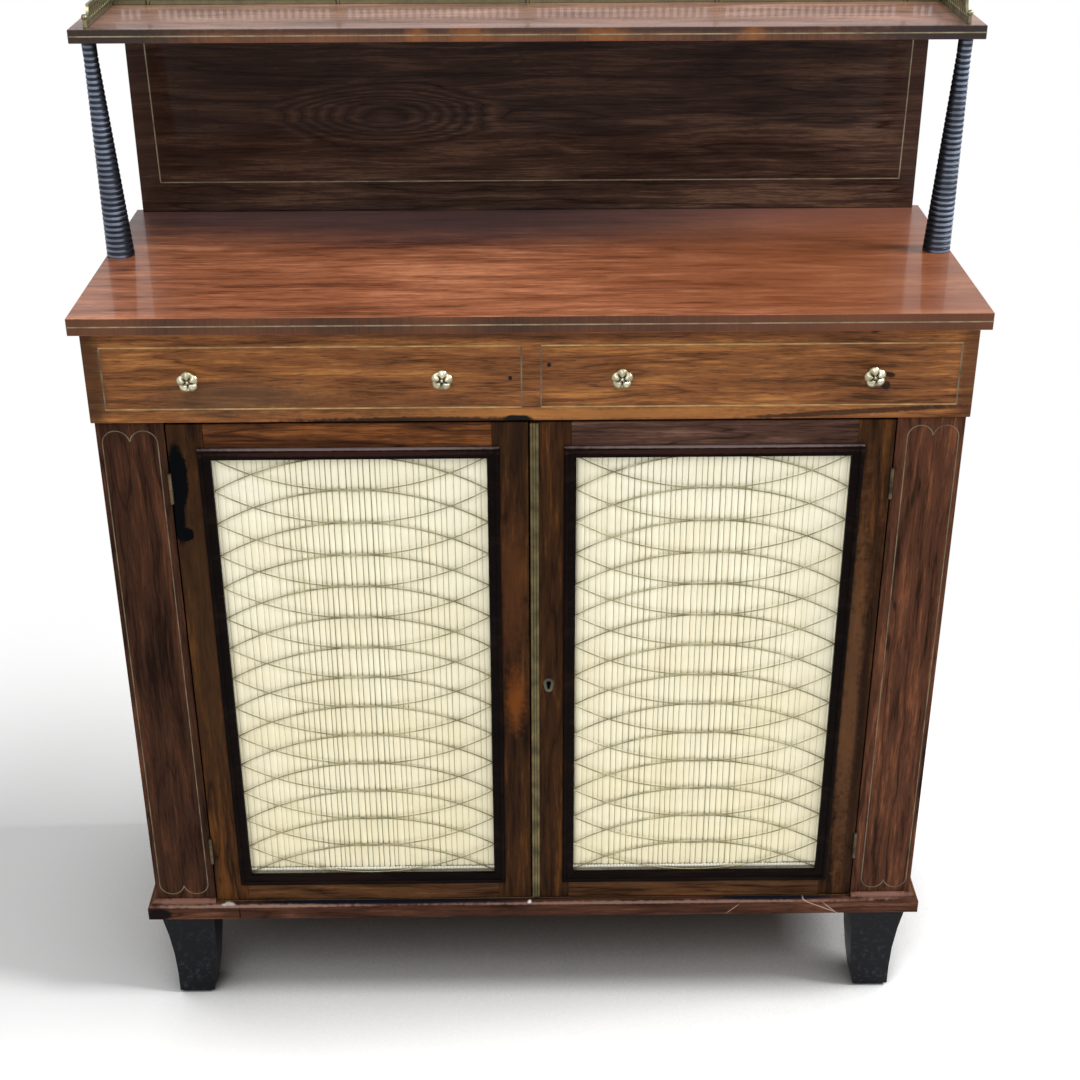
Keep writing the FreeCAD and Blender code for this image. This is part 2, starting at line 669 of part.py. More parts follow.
# ---------------------------------------------------------------- gallery
def slot(middle, foot, head):
    """A round-ended slot through the gallery's plate, which stands along X."""
    half = S.slot_width.value / 2
    deep = S.gallery_plate_thick.value
    low, high = foot + half, head - half
    points = (Vector(middle + half, -deep, low), Vector(middle + half, -deep, high),
              Vector(middle - half, -deep, high), Vector(middle - half, -deep, low))
    edges = (Part.LineSegment(points[0], points[1]).toShape(),
             Part.Arc(points[1], Vector(middle, -deep, head), points[2]).toShape(),
             Part.LineSegment(points[2], points[3]).toShape(),
             Part.Arc(points[3], Vector(middle, -deep, foot), points[0]).toShape())
    return Part.Face(Part.Wire(edges)).extrude(Vector(0, 2 * deep, 0))


def gallery_length(span, sweep):
    """One length of gallery along X: lower rail, pierced plate and cap, swept down at its start."""
    rail, cap = S.gallery_rail_height.value, S.gallery_cap_height.value
    full = S.gallery_height.value
    low = rail + cap
    rise = full - low
    turn = (sweep ** 2 + rise ** 2) / (2 * rise) if sweep else 0

    def head(x):
        return low + turn - math.sqrt(turn ** 2 - x ** 2) if x < sweep else full

    def band(foot, drop, deep):
        """What lies under the head line and above a foot, or within a drop of the line."""
        points = [Vector(0, 0, head(0)), Vector(sweep, 0, full), Vector(span, 0, full)]
        if sweep:
            edges = [Part.Arc(points[0], Vector(sweep / 2, 0, head(sweep / 2)), points[1]).toShape()]
        else:
            edges = []
        edges.append(Part.LineSegment(points[1], points[2]).toShape())
        upper = Part.Wire(edges)
        if drop:
            lower = [edge.translated(Vector(0, 0, -drop)) for edge in edges]
            closing = [(points[0], points[0] - Vector(0, 0, drop)),
                       (points[2], points[2] - Vector(0, 0, drop))]
        else:
            lower = [Part.LineSegment(Vector(0, 0, foot), Vector(span, 0, foot)).toShape()]
            closing = [(points[0], Vector(0, 0, foot)), (points[2], Vector(span, 0, foot))]
        closing = [Part.LineSegment(a, b).toShape() for a, b in closing]
        wire = Part.Wire(Part.__sortEdges__(upper.Edges + lower + closing))
        return Part.Face(wire).extrude(Vector(0, deep, 0)).translated(Vector(0, -deep / 2, 0))

    plate = band(rail / 2, 0, S.gallery_plate_thick.value)
    deep = S.gallery_rail_depth.value
    foot_rail = Part.makeBox(span, deep, rail, Vector(0, -deep / 2, 0))
    margin = S.slot_margin.value
    count = int((span - S.slot_width.value) / S.slot_pitch.value)
    start = (span - (count - 1) * S.slot_pitch.value) / 2
    slots = []
    for number in range(count):
        x = start + number * S.slot_pitch.value
        foot = rail + margin
        top = min(head(x - S.slot_width.value / 2), full) - cap - margin
        if top - foot > S.slot_width.value:
            slots.append(slot(x, foot, top))
    if slots:
        plate = plate.cut(slots)
    return plate.fuse([foot_rail, band(0, cap, cap)]).removeSplitter()


def laid(shape, x, y):
    """A piece of the gallery stood on the shelf at a point."""
    return shape.translated(Vector(x, y, P.shelf_top.value))


def gallery():
    bays = round(S.post_bays.value)
    outer = P.gallery_x.value - S.post_end_gap.value
    pitch = 2 * outer / bays
    row = [-P.gallery_x.value] + [-outer + number * pitch for number in range(bays + 1)]
    row.append(P.gallery_x.value)
    back, front = P.gallery_y.value, P.gallery_front.value
    clear = S.post_radius.value + S.gallery_post_gap.value
    lengths = [laid(gallery_length(b - a - 2 * clear, 0), a + clear, back) for a, b in zip(row, row[1:])]
    formed("back_gallery", Part.makeCompound(lengths))
    span = back - front - 2 * clear
    for name, side in SIDES:
        formed(f"{name}_gallery", gallery_length(span, S.gallery_sweep.value),
               Vector(side * P.gallery_x.value, front + clear, P.shelf_top.value),
               FreeCAD.Rotation(Vector(0, 0, 1), 90))
    tall, short = gallery_post(S.gallery_height.value), gallery_post(S.front_post_height.value)
    posts = [laid(tall, x, back) for x in row]
    posts += [laid(short, side * P.gallery_x.value, front) for _, side in SIDES]
    formed("gallery_posts", Part.makeCompound(posts))


def gallery_post(high):
    """A small turned post with a ball on top."""
    ball = Part.makeSphere(S.finial_radius.value, Vector(0, 0, high + S.finial_rise.value))
    return Part.makeCylinder(S.post_radius.value, high + S.finial_rise.value).fuse(ball)


# ---------------------------------------------------------------- drawer
def drawer():
    reach = P.body_half + S.frieze_side_proud
    face = P.face_y - S.frieze_proud
    front = board("drawer_front", (-reach, face, P.frieze_foot),
                  (reach, P.frieze_back, P.top_under - S.drawer_gap))
    for x in knob_places():
        bore(front, S.knob_bolt_radius + S.knob_bolt_fit, S.pilaster_thick + S.frieze_proud,
             x, face, P.knob_z, along="y")
    inner = P.drawer_half - S.drawer_side_thick
    groove_head = P.drawer_floor + S.drawer_bottom_thick + S.groove_fit
    reach_in = inner + S.groove_depth
    body_box(front, "Subtractive",
             (-reach_in, P.frieze_back - S.groove_depth - S.groove_fit, P.drawer_floor),
             (reach_in, P.frieze_back + S.groove_depth, groove_head))
    for name, side in SIDES:
        x = across(side, inner, P.drawer_half)
        body = board(f"drawer_{name}_side", (x[0], P.frieze_back, P.drawer_foot),
                     (x[1], P.drawer_back, P.drawer_foot + S.drawer_side_height))
        x = across(side, inner - S.groove_depth, reach_in + S.groove_fit)
        body_box(body, "Subtractive", (x[0], P.frieze_back - S.groove_depth, P.drawer_floor),
                 (x[1], P.drawer_back + S.groove_depth, groove_head))
    board("drawer_back", (-inner, P.drawer_back - S.drawer_back_thick, groove_head),
          (inner, P.drawer_back, P.drawer_foot + S.drawer_side_height))
    board("drawer_bottom", (-reach_in, P.frieze_back - S.groove_depth, P.drawer_floor),
          (reach_in, P.drawer_back, P.drawer_floor + S.drawer_bottom_thick), S.groove_fit)


def knob_places():
    return -S.knob_outer, -S.knob_inner, S.knob_inner, S.knob_outer


def knobs():
    nuts = []
    for number, x in enumerate(knob_places(), start=1):
        knob(f"knob_{number}", x)
        nuts.append(knob_nut(x))
    group("knob_nuts", nuts)


def knob(name, x):
    """A five-petalled flower on a neck, with the screw that passes through the drawer front."""
    body = new_body(name)
    neck = body.newObject("PartDesign::AdditiveCylinder", f"{name}_neck")
    bind(neck, Radius=S.knob_neck_radius, Height=S.knob_out - S.knob_thick / 2)
    screw = body.newObject("PartDesign::AdditiveCylinder", f"{name}_screw")
    tail = S.pilaster_thick + S.frieze_proud - S.front_stop_gap + S.nut_thick
    bind(screw, Radius=S.knob_bolt_radius, Height=tail)
    put(screw, 0, 0, -tail)
    eye = body.newObject("PartDesign::AdditiveSphere", f"{name}_eye")
    bind(eye, Radius=S.knob_thick / 2)
    put(eye, 0, 0, S.knob_out - S.knob_thick / 2)
    petal = body.newObject("PartDesign::AdditiveCylinder", f"{name}_petal")
    bind(petal, Radius=S.knob_radius * 0.45, Height=S.knob_thick / 2)
    put(petal, S.knob_radius * 0.55, 0, S.knob_out - S.knob_thick)
    petals = body.newObject("PartDesign::PolarPattern", f"{name}_petals")
    petals.Originals = [petal]
    axis = next(item for item in body.Origin.OriginFeatures if item.Role == "Z_Axis")
    petals.Axis = (axis, [""])
    petals.Angle = 360
    bind(petals, Occurrences=S.knob_petals)
    body.Tip = petals
    body.Placement = FreeCAD.Placement(Vector(), FreeCAD.Rotation(Vector(1, 0, 0), 90))
    put(body, x, P.face_y - S.frieze_proud, P.knob_z)


def knob_nut(x):
    """A six-sided nut on the screw, against the back of the drawer front."""
    block = doc.addObject("Part::Prism", "nut")
    bind(block, Circumradius=S.nut_radius, Height=S.nut_thick)
    hole = doc.addObject("Part::Cylinder", "nut_hole")
    bind(hole, Radius=S.knob_bolt_radius + S.knob_bolt_fit, Height=S.nut_thick)
    for solid in (block, hole):
        solid.Placement = FreeCAD.Placement(Vector(), FreeCAD.Rotation(Vector(1, 0, 0), -90))
        put(solid, x, P.frieze_back, P.knob_z)
    return without(block, hole)


# ---------------------------------------------------------------- doors
def door(name, side):
    """One door: frame, moulding, lattice, silk and the strips that hold the silk."""
    free = P.right_edge if side > 0 else -P.left_edge
    face, back = P.face_y, P.face_y + S.door_thick
    x = across(side, P.opening_outer, P.door_outer)
    hinge_stile = board(f"{name}_hinge_stile", (x[0], face, P.door_foot), (x[1], back, P.door_head))
    for middle in (P.lower_hinge, P.upper_hinge):
        let_in_hinge(hinge_stile, side, middle, P.door_outer, -1)
    x = across(side, free, P.meeting_inner)
    meeting = board(f"{name}_meeting_stile", (x[0], face, P.door_foot), (x[1], back, P.door_head))
    x = across(side, P.meeting_inner, P.opening_outer)
    board(f"{name}_top_rail", (x[0], face, P.opening_head), (x[1], back, P.door_head))
    board(f"{name}_bottom_rail", (x[0], face, P.door_foot), (x[1], back, P.opening_foot))
    formed(f"{name}_moulding", opening_moulding(x))
    formed(f"{name}_lattice", lattice(x))
    silk_and_battens(name, x)
    return meeting


def opening_moulding(x):
    """Four mitred lengths of moulding, lapping the frame and reaching a little into the opening."""
    low = Vector(x[0].value, 0, P.opening_foot.value)
    high = Vector(x[1].value, 0, P.opening_head.value)
    lap = S.moulding_width.value - S.moulding_overhang.value
    face = P.face_y.value
    middle = (low + high) / 2
    lengths = []
    for turn, half_run, half_room in ((0, high.x - middle.x, high.z - middle.z),
                                      (90, high.z - middle.z, high.x - middle.x),
                                      (180, high.x - middle.x, high.z - middle.z),
                                      (270, high.z - middle.z, high.x - middle.x)):
        strip = moulding_length(half_run, half_room, lap)
        strip.rotate(Vector(), Vector(0, 1, 0), turn)
        strip.translate(Vector(middle.x, face, middle.z))
        lengths.append(strip)
    return Part.makeCompound(lengths)


def moulding_length(half_run, half_room, lap):
    """One length along the lower edge of an opening whose middle is the origin, cut at 45 degrees."""
    overhang = S.moulding_overhang.value
    out, lip = S.moulding_out.value, S.moulding_lip.value
    bead = lap * 2 / 3
    edge = -half_room
    fit = S.moulding_fit.value
    points = [Vector(0, 0, edge - lap), Vector(0, -out / 2, edge - lap),
              Vector(0, -out, edge - lap + bead / 2), Vector(0, -out / 2, edge - lap + bead),
              Vector(0, -lip, edge + overhang), Vector(0, S.moulding_tongue.value, edge + overhang),
              Vector(0, S.moulding_tongue.value, edge + fit), Vector(0, 0, edge + fit)]
    edges = [Part.LineSegment(points[0], points[1]).toShape(),
             Part.Arc(points[1], points[2], points[3]).toShape()]
    rest = points[3:] + points[:1]
    edges += [Part.LineSegment(a, b).toShape() for a, b in zip(rest, rest[1:])]
    reach = half_run + lap
    section = Part.Face(Part.Wire(edges)).translated(Vector(-reach, 0, 0))
    strip = section.extrude(Vector(2 * reach, 0, 0))
    deep = out + S.moulding_tongue.value
    inner = half_run - overhang
    foot, head = edge - lap, edge + overhang
    plan = Part.makePolygon([Vector(-reach, -deep, foot), Vector(reach, -deep, foot),
                             Vector(inner, -deep, head), Vector(-inner, -deep, head),
                             Vector(-reach, -deep, foot)])
    return strip.common(Part.Face(plan).extrude(Vector(0, 2 * deep, 0)))


def lattice(x):
    """Two layers of arched wires: hanging arches in front and standing arches behind."""
    rows = round(S.lattice_rows.value)
    overhang = S.moulding_overhang.value
    foot, head = P.opening_foot.value + overhang, P.opening_head.value - overhang
    pitch = (head - foot) / rows
    half = (x[1].value - x[0].value) / 2
    seen = half - overhang
    turn = (seen ** 2 + pitch ** 2) / (2 * pitch)
    reach = half - S.wire_radius.value - S.moulding_fit.value
    end_rise = math.sqrt(turn ** 2 - reach ** 2) - math.sqrt(turn ** 2 - seen ** 2)
    middle = (x[0].value + x[1].value) / 2
    wires = []
    for row in range(rows):
        for layer, node, way in ((P.wire_front.value, head - row * pitch, -1),
                                 (P.wire_back.value, foot + row * pitch, 1)):
            ends = [Vector(middle + end * reach, layer, node + way * end_rise) for end in (-1, 1)]
            crown = Vector(middle, layer, node + way * pitch)
            wires.append(bent_wire(ends[0], crown, ends[1]))
    return Part.makeCompound(wires)


def bent_wire(start, crown, end):
    """A round wire bent to an arc through three points."""
    circle = Part.Arc(start, crown, end).toShape().Curve
    along = (start - circle.Center).cross(circle.Axis)
    ring = Part.Face(Part.Wire(Part.Circle(start, along, S.wire_radius.value).toShape()))
    turn = math.degrees((start - circle.Center).getAngle(end - circle.Center))
    rising = (crown - start).cross(end - start)
    return ring.revolve(circle.Center, rising, turn)


def silk_and_battens(name, x):
    clear = S.silk_clear
    board(f"{name}_silk", (x[0] + clear, P.silk_face, P.opening_foot + clear),
          (x[1] - clear, P.silk_face + S.silk_thick, P.opening_head - clear))
    front, back = P.batten_face, P.batten_face + S.batten_thick
    wide = S.batten_width
    battens = [
        solid_box((x[0], front, P.opening_foot), (x[1], back, P.opening_foot + wide)),
        solid_box((x[0], front, P.opening_head - wide), (x[1], back, P.opening_head)),
        solid_box((x[0], front, P.opening_foot + wide), (x[0] + wide, back, P.opening_head - wide)),
        solid_box((x[1] - wide, front, P.opening_foot + wide), (x[1], back, P.opening_head - wide)),
    ]
    group(f"{name}_battens", battens)


# ---------------------------------------------------------------- brass strip, lock and hinges
def closing_strip():
    """The reeded brass strip along the right door's meeting edge."""
    body = new_body("closing_strip")
    start, width = P.right_edge, S.strip_width
    reed_face = P.face_y - S.strip_thick
    corners = [(start + width, P.face_y), (start, P.face_y), (start, reed_face),
               (start + width / 3, reed_face), (start + width * 2 / 3, reed_face),
               (start + width, reed_face)]
    section = outline(body, "XY_Plane", corners, {edge: S.reed_radius for edge in (2, 3, 4)})
    pad(body, section, P.door_head - P.door_foot - 2 * S.strip_end_gap)
    put(body, 0, 0, P.door_foot + S.strip_end_gap)


def cut_keyhole(body, front, deep):
    """A round hole with a slot below it, from a face towards the back."""
    bore(body, S.keyhole_radius, deep, P.keyhole_x, front, S.keyhole_height, along="y")
    half = S.keyhole_slot / 2
    body_box(body, "Subtractive", (P.keyhole_x - half, front, S.keyhole_height - S.keyhole_drop),
             (P.keyhole_x + half, front + deep, S.keyhole_height))


def escutcheon():
    """The brass plate round the keyhole: straight below, round above."""
    body = new_body("escutcheon")
    half = S.escutcheon_width / 2
    front = P.face_y - S.escutcheon_thick
    body_box(body, "Additive", (P.keyhole_x - half, front, S.keyhole_height + half - S.escutcheon_height),
             (P.keyhole_x + half, P.face_y, S.keyhole_height))
    head = body.newObject("PartDesign::AdditiveCylinder", "escutcheon_head")
    bind(head, Radius=half, Height=S.escutcheon_thick)
    head.Placement = FreeCAD.Placement(Vector(), FreeCAD.Rotation(Vector(1, 0, 0), -90))
    put(head, P.keyhole_x, front, S.keyhole_height)
    cut_keyhole(body, front, S.escutcheon_thick)


def lock(right_stile, left_stile):
    """Lock case let into the back of the right door, its bolt, and the bolt's socket."""
    edge, back = P.right_edge, P.face_y + S.door_thick
    low, high = S.keyhole_height - S.lock_height / 2, S.keyhole_height + S.lock_height / 2
    clear, fit = S.lock_wall, S.bolt_fit
    body_box(right_stile, "Subtractive", (edge - clear, P.lock_face, low),
             (edge + S.lock_width, back + clear, high))
    cut_keyhole(right_stile, P.face_y, S.door_thick - S.lock_thick)
    lock_case = board("lock_case", (edge, P.lock_face, low), (edge + S.lock_width, back, high), fit)
    bolt_low = (edge, P.bolt_face, P.bolt_foot)
    bolt_high = (edge + S.bolt_length, P.bolt_face + S.bolt_thick, P.bolt_foot + S.bolt_height)
    body_box(lock_case, "Subtractive",
             (edge - clear, bolt_low[1] - fit, bolt_low[2] - fit),
             (bolt_high[0] + fit, bolt_high[1] + fit, bolt_high[2] + fit))
    bore(lock_case, S.keyhole_radius, S.lock_thick - clear, P.keyhole_x, P.lock_face,
         S.keyhole_height, along="y")
    board("lock_bolt", bolt_low, bolt_high, fit)
    room = S.bolt_socket_gap
    body_box(left_stile, "Subtractive",
             (edge - S.bolt_throw - room, bolt_low[1] - room, bolt_low[2] - room),
             (edge, bolt_high[1] + room, bolt_high[2] + room))


def hinges():
    """Four butt hinges: leaves in the pilasters and the doors, knuckles and pins."""
    case_leaves, pins = [], []
    for name, side in SIDES:
        door_leaves = []
        for middle in (P.lower_hinge, P.upper_hinge):
            third = S.hinge_length / 6
            end = S.hinge_length / 2
            outer = ((-end, -third - S.hinge_play / 2), (third + S.hinge_play / 2, end))
            inner = ((-third + S.hinge_play / 2, third - S.hinge_play / 2),)
            case_leaves.append(hinge_leaf(side, middle, P.doorway_half, 1, outer))
            door_leaves.append(hinge_leaf(side, middle, P.door_outer, -1, inner))
            pins.append(solid_rod(S.pin_radius, S.hinge_length, side * P.hinge_x, P.hinge_y,
                                  middle - end))
        group(f"{name}_door_leaves", door_leaves)
    group("case_hinge_leaves", case_leaves)
    group("hinge_pins", pins)


def hinge_leaf(side, middle, edge, outwards, knuckles):
    """A leaf in the edge of a board, with its knuckles round the pin."""
    end = S.hinge_length / 2
    start = P.hinge_y + S.knuckle_radius + S.hinge_play
    span = (edge, edge + S.hinge_leaf_thick) if outwards > 0 else (edge - S.hinge_leaf_thick, edge)
    x = across(side, *span)
    solids = [solid_box((x[0], start, middle - end), (x[1], P.hinge_y + S.hinge_leaf_width, middle + end))]
    for low, high in knuckles:
        solids.append(solid_box((x[0], P.hinge_y, middle + low), (x[1], start, middle + high)))
        solids.append(solid_rod(S.knuckle_radius, high - low, side * P.hinge_x, P.hinge_y, middle + low))
    hole = solid_rod(S.pin_radius + S.pin_fit, S.hinge_length, side * P.hinge_x, P.hinge_y, middle - end)
    return without(joined(solids), hole)


# ---------------------------------------------------------------- the whole piece
case()
inner_shelf()
plinth()
for name, side in SIDES:
    foot(f"front_{name}_foot", side, True)
    foot(f"rear_{name}_foot", side, False)
superstructure()
gallery()
drawer()
knobs()
left_stile, right_stile = (door(name, side) for name, side in SIDES)
closing_strip()
escutcheon()
lock(right_stile, left_stile)
hinges()
doc.recompute()

for item in doc.Objects:
    if "Invalid" in item.State or "Error" in item.State:
        raise RuntimeError(f"{item.Name} failed to rebuild: {item.State}")
for piece in pieces:
    if piece.Shape.isNull() or not piece.Shape.isValid() or not piece.Shape.Solids:
        raise RuntimeError(f"{piece.Label} has no valid shape")
for piece in pieces:
    piece.Shape.exportStep(os.path.join("parts", f"{piece.Label}.step"))
print(len(pieces), "sub-parts written")
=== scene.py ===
# %% [markdown]
# A small rosewood chiffonier: a cupboard with two silk-lined grille doors, one long
# frieze drawer, and a shelf above on two ringed columns. The joinery comes from the
# CAD model, which is loaded here as a fixed frame. This script dresses that frame:
# veneers, brass strings, cast knobs, pleated silk, light and camera. Everything is in
# metres, in the frame's own axes: x to the right, y away from the viewer, z up.

# %% Load the frame
import math
import random

import bpy
from mathutils import Matrix, Vector


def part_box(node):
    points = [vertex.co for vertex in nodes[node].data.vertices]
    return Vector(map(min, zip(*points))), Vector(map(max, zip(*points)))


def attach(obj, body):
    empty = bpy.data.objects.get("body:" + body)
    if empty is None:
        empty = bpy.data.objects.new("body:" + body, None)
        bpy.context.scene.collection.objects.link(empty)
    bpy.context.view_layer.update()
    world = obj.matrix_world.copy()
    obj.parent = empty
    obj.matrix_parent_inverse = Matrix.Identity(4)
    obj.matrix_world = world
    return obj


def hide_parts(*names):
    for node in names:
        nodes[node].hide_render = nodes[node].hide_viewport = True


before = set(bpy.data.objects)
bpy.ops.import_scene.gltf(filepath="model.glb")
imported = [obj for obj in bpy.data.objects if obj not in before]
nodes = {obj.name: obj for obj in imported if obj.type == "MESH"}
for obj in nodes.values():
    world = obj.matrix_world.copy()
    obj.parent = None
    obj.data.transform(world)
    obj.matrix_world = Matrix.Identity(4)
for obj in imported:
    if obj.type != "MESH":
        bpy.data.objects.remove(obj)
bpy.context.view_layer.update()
scene = bpy.context.scene
MM = 0.001

# %% [markdown]
# Helpers for the whole script. A finish is chosen as it would be on a paint card, in
# sRGB hex, while the renderer works in linear light, so one function turns one into
# the other. Node materials are easier to read as a list of calls than as a drawing, so
# one function adds a node, sets it and links it: an input is a value, a socket, or a
# node, which then stands for its result.

# %% Colour and node helpers
def linear(hex_colour):
    """The linear RGBA of an sRGB colour such as #8A5A32."""
    channels = [int(hex_colour[i:i + 2], 16) / 255 for i in (1, 3, 5)]
    return [c / 12.92 if c <= 0.04045 else ((c + 0.055) / 1.055) ** 2.4 for c in channels] + [1]


def add(tree, kind, inputs, **settings):
    """Adds a shader node, sets it, and fills or links its inputs. Returns the node."""
    node = tree.nodes.new("ShaderNode" + kind)
    for name, value in settings.items():
        setattr(node, name, value)
    for key, value in inputs.items():
        if isinstance(value, bpy.types.Node):
            value = next(socket for socket in value.outputs if socket.enabled)
        if isinstance(value, bpy.types.NodeSocket):
            tree.links.new(value, node.inputs[key])
        else:
            node.inputs[key].default_value = value
    return node


def blank_material(name):
    """A new material with an empty node tree. Returns both."""
    material = bpy.data.materials.new(name)
    material.use_nodes = True
    material.node_tree.nodes.clear()
    return material, material.node_tree


print("walnut brown in linear light:", [round(c, 3) for c in linear("#5A3A22")])

# %% [markdown]
# Two more helpers. A CAD piece keeps its mesh and only changes its material. A new
# piece is made from lists of corners and faces, and rides on a body of the frame, so
# that it moves with the drawer or a door.

# %% Piece helpers
def dress(material, *names):
    """Gives CAD pieces a material in place of the plain one they came with."""
    for name in names:
        mesh = nodes[name].data
        mesh.materials.clear()
        mesh.materials.append(material)
        print(name, "is", material.name.replace("_", " "))


def make_piece(name, corners, faces, material, body, smooth=False):
    """A mesh piece from corner points in metres, riding on a body of the frame."""
    mesh = bpy.data.meshes.new(name)
    mesh.from_pydata([tuple(c) for c in corners], [], faces)
    mesh.validate()
    if smooth:
        mesh.shade_smooth()
    mesh.materials.append(material)
    piece = bpy.data.objects.new(name, mesh)
    scene.collection.objects.link(piece)
    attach(piece, body)
    return piece


# %% [markdown]
# The camera stands a little above the piece and looks down at it, close enough for the
# uprights to lean in towards the floor. Its turn is built from three plain rotations:
# round the vertical, then the tilt, then a slight roll of the hand-held camera.

# %% Camera
def stand_camera(place, lens, tilt, turn, roll):
    """A 36 mm camera at place, tilt degrees below the horizon, turned and rolled."""
    data = bpy.data.cameras.new("camera")
    data.lens, data.sensor_width, data.clip_end = lens, 36, 100
    camera = bpy.data.objects.new("camera", data)
    scene.collection.objects.link(camera)
    camera.matrix_world = (
        Matrix.Translation(place)
        @ Matrix.Rotation(math.radians(turn), 4, "Z")
        @ Matrix.Rotation(math.radians(90 - tilt), 4, "X")
        @ Matrix.Rotation(math.radians(roll), 4, "Z")
    )
    scene.camera = camera
    return camera


camera = stand_camera((-0.0103, -1.8050, 1.4758), lens=57.72, tilt=27.458, turn=-0.655, roll=-0.152)
print("camera height", round(camera.location.z, 3))

# %% [markdown]
# The room is a plain white sweep. The world is white where a lens or a polished
# surface sees it, and lights the piece more gently than that. A broad soft lamp on the
# right draws the long shadow to the left, and a large weaker one, high in front,
# shades the frieze under the top as a ceiling light would.

# %% Lamps and world
scene.view_settings.view_transform = "Standard"


def hang_lamp(name, place, aim, size, power, colour="#FFFFFF"):
    """A soft square lamp at place, pointed at aim."""
    data = bpy.data.lights.new(name, "AREA")
    data.shape, data.size, data.energy = "SQUARE", size, power
    data.color = linear(colour)[:3]
    lamp = bpy.data.objects.new(name, data)
    scene.collection.objects.link(lamp)
    lamp.location = place
    lamp.rotation_euler = (Vector(aim) - Vector(place)).to_track_quat("-Z", "Y").to_euler()


hang_lamp("side lamp", (3.1, -0.32, 3.1), (0, 0, 0.4), 1.3, 215)
hang_lamp("front lamp", (-0.7, -2.7, 3.3), (0, 0, 0.5), 2.0, 76)

world = bpy.data.worlds.new("white room")
scene.world = world
world.use_nodes = True
tree = world.node_tree
tree.nodes.clear()
ray = add(tree, "LightPath", {})
seen = add(tree, "Math", {0: ray.outputs["Is Camera Ray"], 1: ray.outputs["Is Glossy Ray"]},
           operation="MAXIMUM")
seen = add(tree, "Math", {0: seen, 1: ray.outputs["Is Transmission Ray"]}, operation="MAXIMUM")
strength = add(tree, "MapRange", {0: seen, 3: 0.32, 4: 1.0})
sky = add(tree, "Background", {"Color": linear("#FFFFFF"), "Strength": strength})
add(tree, "OutputWorld", {"Surface": sky})
print("lamps", [item.name for item in bpy.data.lights])

# %% [markdown]
# The floor is a matt white board near the piece, so it holds the shadow, and turns
# into plain white further out. Ambient occlusion tells the shader how much open sky a
# point of the floor has, which deepens the shadow under the low case.

# %% The floor
def white_floor():
    """Diffuse white near the piece, for its shadow, fading to plain white far away."""
    material, tree = blank_material("painted_white_floor")
    here = add(tree, "TexCoord", {}).outputs["Object"]
    far = add(tree, "VectorMath", {0: here, 1: (-0.15, 0.0, 0.0)}, operation="DISTANCE")
    fade = add(tree, "MapRange", {0: far.outputs["Value"], 1: 0.6, 2: 1.15},
               interpolation_type="SMOOTHSTEP")
    ray = add(tree, "LightPath", {})
    seen = add(tree, "Math", {0: ray.outputs["Is Camera Ray"], 1: ray.outputs["Is Glossy Ray"]},
               operation="MAXIMUM")
    amount = add(tree, "Math", {0: fade, 1: seen}, operation="MULTIPLY")
    grain = add(tree, "TexNoise", {"Vector": here, "Scale": 900, "Detail": 2})
    colour = add(tree, "Mix", {0: grain, 6: linear("#F8F8F8"), 7: linear("#FCFCFC")},
                 data_type="RGBA")
    open_sky = add(tree, "AmbientOcclusion", {"Distance": 0.45}, samples=8).outputs["AO"]
    under = add(tree, "MapRange", {0: open_sky, 1: 0.1, 2: 0.92, 3: 0.12, 4: 1.0},
                interpolation_type="SMOOTHSTEP")
    shaded = add(tree, "VectorMath", {0: colour, "Scale": under}, operation="SCALE")
    paint = add(tree, "BsdfPrincipled", {"Base Color": shaded, "Roughness": 0.9,
                                         "Specular IOR Level": 0.0})
    glow = add(tree, "Emission", {"Color": linear("#FFFFFF"), "Strength": 1.0})
    add(tree, "OutputMaterial",
        {"Surface": add(tree, "MixShader", {0: amount, 1: paint, 2: glow})})
    return material


half = 12
floor_mesh = bpy.data.meshes.new("floor")
floor_mesh.from_pydata([(-half, -half, 0), (half, -half, 0), (half, half, 0), (-half, half, 0)],
                       [], [(0, 1, 2, 3)])
floor_mesh.materials.append(white_floor())
floor = bpy.data.objects.new("floor", floor_mesh)
scene.collection.objects.link(floor)
print("floor", 2 * half, "m square")

# %% [markdown]
# Rosewood veneer is dark brown with inky lines and warmer streaks that follow the
# grain, and its pores are short dark flecks. Every layer is the same kind of noise,
# stretched along the grain: a noise cut into rings gives the figure and its inky
# contour lines, a finer one the streaks, the finest the pores. A pore is 0.2 mm wide
# on real wood and is drawn about 1 mm wide here, as coarse as it has to be to show.
# A hill added to the ring noise makes the ovals of a crown cut.
#
# More layers can lie on the veneer. The edges of a table top are crossbanded, with the
# grain upright, and the normal tells the shader where they are. Behind a veneer is its
# pine core. Marks are the stains, plugs, chips and scratches of two centuries, and some
# painted highlights, shadows and reflections. Each is a soft-edged ellipsoid, written as
# one line of a small table: its centre and half size in millimetres, its slope in
# degrees, how ragged and how soft its outline is, its colour, and how much it covers. A
# later mark lies on an earlier one. Corners and crevices are darkened where ambient
# occlusion finds them, as dirt and as painted shade.

# %% The rosewood veneer
PINE = ("#6C4F34", "#846444", "#9C7C54")


def grain_scale(along, size_mm):
    """Scale of a noise, per metre, whose marks are size_mm long and wide."""
    long, wide = size_mm
    return [1000 / (long if axis == along else wide) for axis in "xyz"]


